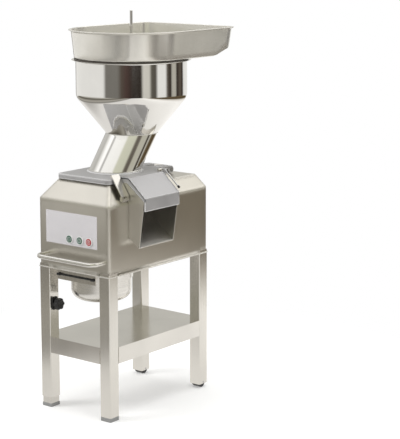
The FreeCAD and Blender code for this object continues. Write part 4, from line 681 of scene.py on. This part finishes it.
# %% [markdown]
# ## Patterns for the finishes
# A metal's look is mostly its roughness. One helper starts a Principled material; the others make a noise
# pattern and send it to the roughness, the colour or the relief. Patterns read the object's own
# coordinates in metres, so their scale is real and they don't slide.


# %% Pattern helpers
def start(name, colour, metallic, roughness):
    """A material with its tree's nodes, its links and its Principled shader."""
    material = bpy.data.materials.new(name)
    material.use_nodes = True
    shader = material.node_tree.nodes["Principled BSDF"]
    shader.inputs["Base Color"].default_value = (*colour, 1)
    shader.inputs["Metallic"].default_value = metallic
    shader.inputs["Roughness"].default_value = roughness
    return material, material.node_tree.nodes, material.node_tree.links, shader


def noise(tree_nodes, links, stretch, scale, detail=4.0):
    """Noise on object coordinates, with the axes stretched so that the grain runs along one of them."""
    place = tree_nodes.new("ShaderNodeTexCoord")
    mapping = tree_nodes.new("ShaderNodeMapping")
    mapping.inputs["Scale"].default_value = stretch
    pattern = tree_nodes.new("ShaderNodeTexNoise")
    pattern.inputs["Scale"].default_value = scale
    pattern.inputs["Detail"].default_value = detail
    links.new(place.outputs["Object"], mapping.inputs["Vector"])
    links.new(mapping.outputs["Vector"], pattern.inputs["Vector"])
    return pattern.outputs["Fac"]


NOISE_LOW, NOISE_HIGH = 0.3, 0.7


def span(tree_nodes, links, value, low, high):
    """Maps the range in which most noise values lie to a useful one."""
    reach = tree_nodes.new("ShaderNodeMapRange")
    reach.inputs["From Min"].default_value = NOISE_LOW
    reach.inputs["From Max"].default_value = NOISE_HIGH
    reach.inputs["To Min"].default_value = low
    reach.inputs["To Max"].default_value = high
    links.new(value, reach.inputs["Value"])
    return reach.outputs["Result"]


def tint(tree_nodes, links, value, dark, light, shader):
    """Colour that drifts between two tones with a pattern."""
    ramp = tree_nodes.new("ShaderNodeValToRGB")
    ramp.color_ramp.elements[0].position = NOISE_LOW
    ramp.color_ramp.elements[0].color = (*dark, 1)
    ramp.color_ramp.elements[1].position = NOISE_HIGH
    ramp.color_ramp.elements[1].color = (*light, 1)
    links.new(value, ramp.inputs["Fac"])
    links.new(ramp.outputs["Color"], shader.inputs["Base Color"])


def relief(tree_nodes, links, value, depth, shader, strength=1.0):
    """Bumps of a real depth in metres."""
    bump = tree_nodes.new("ShaderNodeBump")
    bump.inputs["Distance"].default_value = depth
    bump.inputs["Strength"].default_value = strength
    links.new(value, bump.inputs["Height"])
    links.new(bump.outputs["Normal"], shader.inputs["Normal"])


def two_tones(colour, darker, lighter):
    """A dark and a light tone of one colour, from two factors."""
    return [c * darker for c in colour], [min(c * lighter, 1) for c in colour]


print("dark and light of mid grey", two_tones((0.5, 0.5, 0.5), 0.9, 1.1))

# %% [markdown]
# ## Bends and painted edge highlights
# A rolled bend catches a soft line of light, and the casting gets a painted highlight along its edges: its
# base colour turns lighter there. Both come from a Bevel node, which tells the shader what the normal would be
# on a rounded edge.


# %% Edge helpers
def bends(material, radius):
    """Softens the light across every fold, as the rolled bends of a real sheet do."""
    tree_nodes, links = material.node_tree.nodes, material.node_tree.links
    round_off = tree_nodes.new("ShaderNodeBevel")
    round_off.samples = 8
    round_off.inputs["Radius"].default_value = radius
    links.new(round_off.outputs["Normal"], tree_nodes["Bump"].inputs["Normal"])
    return material


def painted_edge_highlight(material, width, colour):
    """Painted highlight along edges: where the rounded normal leaves the flat one, the base colour turns
    lighter.
    """
    tree_nodes, links = material.node_tree.nodes, material.node_tree.links
    round_off = tree_nodes.new("ShaderNodeBevel")
    round_off.samples = 8
    round_off.inputs["Radius"].default_value = width
    flat = tree_nodes.new("ShaderNodeNewGeometry")
    match = tree_nodes.new("ShaderNodeVectorMath")
    match.operation = "DOT_PRODUCT"
    share = tree_nodes.new("ShaderNodeMapRange")
    for socket, value in (("From Min", 0.97), ("From Max", 0.998), ("To Min", 1.0), ("To Max", 0.0)):
        share.inputs[socket].default_value = value
    mix = tree_nodes.new("ShaderNodeMixRGB")
    mix.inputs["Color2"].default_value = (*colour, 1)
    base = tree_nodes["Principled BSDF"].inputs["Base Color"]
    links.new(round_off.outputs["Normal"], match.inputs[0])
    links.new(flat.outputs["True Normal"], match.inputs[1])
    links.new(match.outputs["Value"], share.inputs["Value"])
    links.new(share.outputs["Result"], mix.inputs["Fac"])
    links.new(base.links[0].from_socket, mix.inputs["Color1"])
    links.new(mix.outputs["Color"], base)
    return material


print("edge helpers", bends.__name__, painted_edge_highlight.__name__)

# %% [markdown]
# ## Three families of finish
# Brushed sheet has long fine lines, a blasted casting a round grain, and moulded plastic the fine texture
# of its tool. A family is a function, so that each finish is one line with its colour and its scale.


# %% Families of finish
EVEN = (1, 1, 1)


def brushed(name, colour, stretch, rough=(0.3, 0.42), depth=4e-6, metallic=1.0):
    """Brushed sheet: long fine lines in the roughness and relief, slow clouds in the colour."""
    material, tree_nodes, links, shader = start(name, colour, metallic, 0.35)
    lines = noise(tree_nodes, links, stretch, 1.0, 6.0)
    links.new(span(tree_nodes, links, lines, *rough), shader.inputs["Roughness"])
    clouds = noise(tree_nodes, links, EVEN, 5.0)
    tint(tree_nodes, links, clouds, *two_tones(colour, 0.93, 1.05), shader)
    relief(tree_nodes, links, lines, depth, shader)
    return material


def cast(name, colour, rough=(0.4, 0.52), grain=900.0, depth=4e-5, metallic=0.5):
    """Blasted casting: fine round grain and a slight mottling."""
    material, tree_nodes, links, shader = start(name, colour, metallic, 0.5)
    fine = noise(tree_nodes, links, EVEN, grain, 2.0)
    mottle = noise(tree_nodes, links, EVEN, 24.0)
    links.new(span(tree_nodes, links, mottle, *rough), shader.inputs["Roughness"])
    tint(tree_nodes, links, mottle, *two_tones(colour, 0.95, 1.04), shader)
    relief(tree_nodes, links, fine, depth, shader, 0.6)
    return material


def moulded(name, colour, roughness, grain=1400.0, depth=2e-5, drift=0.09):
    """Moulded plastic or rubber: a fine texture from the tool and small changes of sheen and tone."""
    material, tree_nodes, links, shader = start(name, colour, 0.0, roughness)
    fine = noise(tree_nodes, links, EVEN, grain, 2.0)
    wear = noise(tree_nodes, links, EVEN, 30.0)
    links.new(span(tree_nodes, links, wear, roughness - 0.06, roughness + 0.08), shader.inputs["Roughness"])
    tint(tree_nodes, links, wear, *two_tones(colour, 1 - drift, 1 + drift), shader)
    relief(tree_nodes, links, fine, depth, shader, 0.5)
    return material


print("families", brushed.__name__, cast.__name__, moulded.__name__)

# %% [markdown]
# ## The finishes
# The stand and the casing are the same steel, brushed in different directions: tubes along their length,
# the casing level all round. The hopper and the tray are polished, with only faint lines.

# %% Mix the finishes
casing = brushed("brushed_casing", (0.70, 0.675, 0.62), (5, 5, 600), (0.275, 0.295), 6e-7)
casting = cast("blasted_casting", (0.455, 0.45, 0.455))
finishes = {
    "sheet": brushed("brushed_sheet", (0.70, 0.68, 0.64), (5, 5, 420)),
    "casing": bends(casing, 16 * mm),
    "satin": brushed("satin_tray", (0.74, 0.72, 0.67), (60, 60, 3), (0.1, 0.17), 1e-6, 0.6),
    "tube": brushed("brushed_tube", (0.76, 0.74, 0.70), (420, 420, 5), (0.2, 0.27)),
    "flat": brushed("brushed_flat", (0.76, 0.74, 0.705), (420, 6, 6), (0.17, 0.25), 2e-6),
    "polished": brushed("polished_sheet", (0.80, 0.79, 0.77), (60, 60, 3), (0.05, 0.1), 1e-6),
    "bar": brushed("bright_bar", (0.78, 0.765, 0.735), (5, 5, 300), (0.22, 0.3), 1e-6),
    "machined": brushed("machined_steel", (0.5, 0.5, 0.5), (300, 300, 30), (0.3, 0.45)),
    # the casting's edges get a painted highlight: a near-white base colour near every edge
    "cast": painted_edge_highlight(casting, 5 * mm, (0.9, 0.9, 0.91)),
    "seal": moulded("dark_slide_ring", (0.07, 0.06, 0.05), 0.5),
    "paint": moulded("dark_paint", (0.035, 0.037, 0.04), 0.45, 700.0),
    "black": moulded("black_moulding", (0.012, 0.012, 0.013), 0.42),
    "grey": moulded("grey_moulding", (0.30, 0.30, 0.295), 0.5),
    "film": moulded("light_film", (0.62, 0.60, 0.61), 0.42, 500.0, 2e-6, 0.02),
    "green": moulded("green_cap", (0.004, 0.085, 0.045), 0.3),
    "red": moulded("red_cap", (0.42, 0.012, 0.018), 0.3),
    "white": moulded("white_moulding", (0.80, 0.80, 0.78), 0.35),
    "rubber": moulded("black_rubber", (0.015, 0.015, 0.015), 0.65),
}
print("finishes", sorted(finishes))

# %% [markdown]
# ## Painting the solids
# Every solid has a material slot in the record, and each slot has its usual finish. Legs, flat strips, the
# casing and the dark ring below the tray differ from their slot's usual finish, so they follow by name.


# %% Paint the solids
def paint(piece, finish):
    """Gives the whole piece one finish."""
    piece.data.materials.clear()
    piece.data.materials.append(finishes[finish])


by_slot = {
    "brushed_stainless": "sheet",
    "polished_stainless": "polished",
    "cast_aluminium": "cast",
    "machine_steel": "machined",
    "painted_steel": "paint",
    "black_plastic": "black",
    "grey_plastic": "grey",
    "light_plate": "film",
    "green_plastic": "green",
    "red_plastic": "red",
    "black_rubber": "rubber",
    "white_plastic": "white",
}
for entry in frame["record"]["subparts"]:
    paint(nodes[entry["node"]], by_slot[entry["material_slot"]])
for name, node in nodes.items():
    if name.startswith("leg_"):
        paint(node, "tube")
for name in ("shelf", "latch_strap", "cover_bracket", "hinge_bracket"):
    paint(nodes[name], "flat")
paint(nodes["casing"], "casing")
paint(nodes["slide_ring"], "seal")
print("solids painted", len(nodes))

# %% [markdown]
# ## Painting the new pieces
# Each new piece is listed with a finish and with the slot of the solid that it stands for; it gets
# the finish.

# %% Paint the new pieces
dressed = {
    "spun_hopper": ("polished", "polished_stainless"),
    "leaning_tube": ("polished", "polished_stainless"),
    "neck_weld": ("polished", "polished_stainless"),
    "foot_weld": ("polished", "polished_stainless"),
    "folded_tray": ("satin", "polished_stainless"),
    "drawn_cover": ("bar", "brushed_stainless"),
    "bent_handle": ("bar", "brushed_stainless"),
    "rolled_hem": ("bar", "brushed_stainless"),
    "lid_plate": ("cast", "cast_aluminium"),
    "outlet_hood": ("cast", "cast_aluminium"),
    "hood_rim_front": ("cast", "cast_aluminium"),
    "hood_rim_rear": ("cast", "cast_aluminium"),
    "arm_left": ("cast", "cast_aluminium"),
    "arm_right": ("cast", "cast_aluminium"),
    "lobed_knob": ("black", "black_plastic"),
    "knob_stud": ("machined", "black_plastic"),
    "cap_one": ("green", "green_plastic"),
    "cap_two": ("green", "green_plastic"),
    "cap_stop": ("red", "red_plastic"),
}
for name, (finish, slot_name) in dressed.items():
    paint(bpy.data.objects[name], finish)
for piece in white_pieces:
    paint(piece, "white")
print("new pieces painted", len(dressed) + len(white_pieces))

# %% [markdown]
# ## The studio
# A pale floor, an even sky and large soft lamps. Bare metal shows little but its surroundings, so the sky
# and the floor have a second look that only reflections see. These helpers wire nodes up in one line each,
# spread tones over a scale, and turn a direction into a compass bearing.


# %% Node helpers
def wired(tree, kind, *values, **settings):
    """Adds a node and feeds its sockets in order, each with a link or with a plain number."""
    node = tree.nodes.new(kind)
    for key, value in settings.items():
        setattr(node, key, value)
    for socket, value in zip(node.inputs, values):
        if isinstance(value, bpy.types.NodeSocket):
            tree.links.new(value, socket)
        elif value is not None:
            socket.default_value = value
    return node


def eased(tree, value, low, high, **settings):
    """Rises from 0 to 1 while the value goes from low to high."""
    return wired(tree, "ShaderNodeMapRange", value, low, high, 0.0, 1.0, **settings).outputs[0]


def blended(tree, share, first, second, kind="ShaderNodeMixRGB"):
    """The first colour or shader where the share is 0, and the second where it is 1."""
    return wired(tree, kind, share, first, second).outputs[0]


def graded(tree, value, low, high, stops):
    """Spreads low..high over a colour ramp; each stop is a place on that scale with its colour."""
    ramp = wired(tree, "ShaderNodeValToRGB", eased(tree, value, low, high))
    elements = ramp.color_ramp.elements
    elements.remove(elements[1])
    elements[0].color = (*stops[0][1], 1)
    for place, colour in stops:
        elements.new((place - low) / (high - low)).color = (*colour, 1)
    return ramp.outputs["Color"]


def bearing(tree, east, north):
    """Compass angle in degrees, counted from the front (-Y) towards the outlet side (+X)."""
    south = wired(tree, "ShaderNodeMath", north, -1.0, operation="MULTIPLY").outputs[0]
    angle = wired(tree, "ShaderNodeMath", east, south, operation="ARCTAN2").outputs[0]
    return wired(tree, "ShaderNodeMath", angle, operation="DEGREES").outputs[0]


print("node helpers", wired.__name__, graded.__name__, bearing.__name__)

# %% [markdown]
# ## Tones round the machine
# A workshop has windows, walls and dark corners, and a steel surface shows all of them as bands. Each ring
# is a list of compass bearings with the tone met there: one ring near the horizon, a paler one above it,
# and a crown overhead, which the sloping sheets and the top of the hopper show.

# %% Tones of the sky
BRIGHT, GLEAM, SHEEN = (0.9, 0.89, 0.86), (0.66, 0.64, 0.58), (0.5, 0.48, 0.42)
DUSK, BROWN, DARK = (0.2, 0.19, 0.17), (0.12, 0.1, 0.08), (0.03, 0.023, 0.018)
PLASTER, STONE, RAFTER = (0.56, 0.55, 0.5), (0.4, 0.39, 0.33), (0.2, 0.18, 0.15)
WINDOW, PANE, SHADE = (2.1, 2.08, 2.04), (1.3, 1.29, 1.27), (0.6, 0.59, 0.57)
low_ring = [
    (-137, BRIGHT), (-132, BROWN), (-125, BROWN), (-119, BRIGHT), (-19, BRIGHT), (-13, DUSK), (12, DUSK),
    (20, (0.1, 0.08, 0.065)), (30, (0.08, 0.05, 0.043)), (44, DARK), (60, DARK), (65, GLEAM), (77, GLEAM),
    (82, (0.12, 0.11, 0.09)), (91, (0.1, 0.09, 0.075)), (97, BRIGHT), (114, BRIGHT), (119, BROWN),
    (128, DARK), (133, SHEEN), (143, SHEEN), (147, DARK), (160, BROWN), (170, DARK), (176, BRIGHT),
]
high_ring = [
    (-178, PLASTER), (-100, (0.64, 0.63, 0.6)), (-60, (0.46, 0.45, 0.41)), (-48, STONE), (18, STONE),
    (30, (0.55, 0.55, 0.42)), (70, (0.52, 0.51, 0.4)), (78, BROWN), (88, BROWN),
    (95, (0.55, 0.53, 0.44)), (178, PLASTER),
]
crown = [
    (-178, WINDOW), (-140, BRIGHT), (-95, (0.95, 0.94, 0.92)), (-88, PANE), (-62, PANE), (-57, SHADE),
    (-52, SHADE), (-46, (1.15, 1.14, 1.11)), (15, (1.1, 1.09, 1.05)), (28, (0.74, 0.74, 0.6)),
    (68, (0.7, 0.7, 0.57)), (76, RAFTER), (84, RAFTER), (92, (0.9, 0.88, 0.82)),
    (130, (1.6, 1.58, 1.54)), (178, WINDOW),
]
print("tones in the rings", len(low_ring), len(high_ring), len(crown))

# %% [markdown]
# ## The sky
# The camera sees plain white, and matt surfaces are lit by an even grey. Only a reflection meets the rings,
# which fade into each other with height.

# %% Sky
world = bpy.data.worlds.new("sky")
bpy.context.scene.world = world
world.use_nodes = True
sky = world.node_tree
toward = wired(sky, "ShaderNodeTexCoord").outputs["Generated"]
east, north, height = wired(sky, "ShaderNodeSeparateXYZ", toward).outputs
heading = bearing(sky, east, north)
lower, upper, top = (graded(sky, heading, -180, 180, ring) for ring in (low_ring, high_ring, crown))
walls = blended(sky, eased(sky, height, 0.0, 0.1), lower, upper)
mirrored = blended(sky, eased(sky, height, 0.42, 0.6), walls, top)
rays = wired(sky, "ShaderNodeLightPath").outputs
even = blended(sky, rays["Is Glossy Ray"], (0.55, 0.55, 0.55, 1), mirrored)
seen = blended(sky, rays["Is Camera Ray"], even, (1, 1, 1, 1))
sky.links.new(seen, sky.nodes["Background"].inputs["Color"])
print("sky at", world.name)

# %% [markdown]
# ## Tones of the floor
# The floor is matt and nearly white. In reflections it has tones too: they change along one line that runs
# from the front left to the far right, and far out they turn into the lowest ring, so that floor and sky
# meet without an edge.

# %% Lay the floor
reach = 9.0
across_floor = (0.656, 0.755, 0)
floor_line = [
    (-4.6, (0.60, 0.58, 0.53)), (-3.6, (0.46, 0.44, 0.39)), (-2.6, (0.09, 0.08, 0.06)),
    (-1.9, (0.3, 0.28, 0.24)), (-1.5, (0.46, 0.44, 0.39)), (-1.0, (0.26, 0.245, 0.22)),
    (-0.75, (0.84, 0.82, 0.79)), (0.5, (0.95, 0.93, 0.89)), (1.3, (1.15, 1.13, 1.09)),
    (1.9, (0.8, 0.76, 0.7)), (2.25, (0.24, 0.2, 0.14)), (2.6, (0.085, 0.06, 0.03)), (4.0, (0.14, 0.105, 0.06)),
]
square = [(-reach, -reach, 0), (reach, -reach, 0), (reach, reach, 0), (-reach, reach, 0)]
mesh = bpy.data.meshes.new("floor")
mesh.from_pydata(square, [], [(0, 1, 2, 3)])
floor = bpy.data.objects.new("floor", mesh)
bpy.context.scene.collection.objects.link(floor)
material, _, _, shader = start("floor", (0.86, 0.86, 0.85), 0.0, 0.9)
mesh.materials.append(material)
tree = material.node_tree
place = wired(tree, "ShaderNodeTexCoord").outputs["Object"]
east, north, _ = wired(tree, "ShaderNodeSeparateXYZ", place).outputs
along = wired(tree, "ShaderNodeVectorMath", place, across_floor, operation="DOT_PRODUCT").outputs["Value"]
away = wired(tree, "ShaderNodeVectorMath", place, (0, 0, 0), operation="DISTANCE").outputs["Value"]
near_tone = graded(tree, along, -6, 6, floor_line)
far_tone = graded(tree, bearing(tree, east, north), -180, 180, low_ring)
tone = blended(tree, eased(tree, away, 5.0, 6.0), near_tone, far_tone)
print("floor reaches", reach)

# %% [markdown]
# Three looks then share the floor: the tones for reflections, a lit surface with the machine's shadow near
# its feet and plain white farther out for the camera, and the bare matt surface for all other light.

# %% Looks of the floor
mirrored = wired(tree, "ShaderNodeEmission", tone, 1.0).outputs[0]
glow = wired(tree, "ShaderNodeEmission", None, 0.3).outputs[0]
white = wired(tree, "ShaderNodeEmission", None, 1.0).outputs[0]
matt = shader.outputs[0]
lit = wired(tree, "ShaderNodeAddShader", matt, glow).outputs[0]
fade = eased(tree, away, 0.65, 1.3, interpolation_type="SMOOTHSTEP")
seen = blended(tree, fade, lit, white, "ShaderNodeMixShader")
rays = wired(tree, "ShaderNodeLightPath").outputs
unseen = blended(tree, rays["Is Glossy Ray"], matt, mirrored, "ShaderNodeMixShader")
whole = blended(tree, rays["Is Camera Ray"], unseen, seen, "ShaderNodeMixShader")
tree.links.new(whole, tree.nodes["Material Output"].inputs["Surface"])
print("floor nodes", len(tree.nodes))

# %% [markdown]
# ## The lamps
# Three large panels: one high on the left as the key, one overhead, and a weak one on the right that opens
# the shadows. Reflections don't see them, because the tones above already hold the bright places.


# %% Lamps
def lamp(name, place, size, power, aim=(0, 0, 0.8)):
    """A panel of light at a place, turned towards the middle of the machine."""
    light = bpy.data.lights.new(name, "AREA")
    light.shape = "RECTANGLE"
    light.size, light.size_y = size
    light.energy = power
    holder = bpy.data.objects.new(name, light)
    bpy.context.scene.collection.objects.link(holder)
    holder.location = place
    away = np.array(aim) - np.array(place)
    flat = math.hypot(away[0], away[1])
    holder.rotation_euler = (math.atan2(flat, -away[2]), 0, math.atan2(away[1], away[0]) - math.pi / 2)
    holder.visible_glossy = False


lamp("key", (-2.2, -2.6, 3.0), (1.6, 1.6), 70)
lamp("top", (0.3, 0.2, 3.6), (2.2, 2.2), 60)
lamp("fill", (3.4, -1.2, 1.6), (1.2, 2.0), 17)
print("lamps placed")

# %% [markdown]
# ## The camera
# A long lens from the front right, a little above the machine. Its place was worked out from the corners
# of the casing and the stand, whose real positions are known from the solids.

# %% Camera
downward, sideways = 0.1653, 0.6654
camera = bpy.data.cameras.new("camera")
camera.sensor_width = 36
camera.lens = 122.9
camera.shift_y = -0.1
view = bpy.data.objects.new("camera", camera)
bpy.context.scene.collection.objects.link(view)
view.location = (3.3339, -3.8456, 1.6278)
view.rotation_euler = (math.pi / 2 - downward, 0, sideways)
bpy.context.scene.camera = view
bpy.context.scene.view_settings.view_transform = "Standard"
print("camera distance", round(view.location.length, 2))
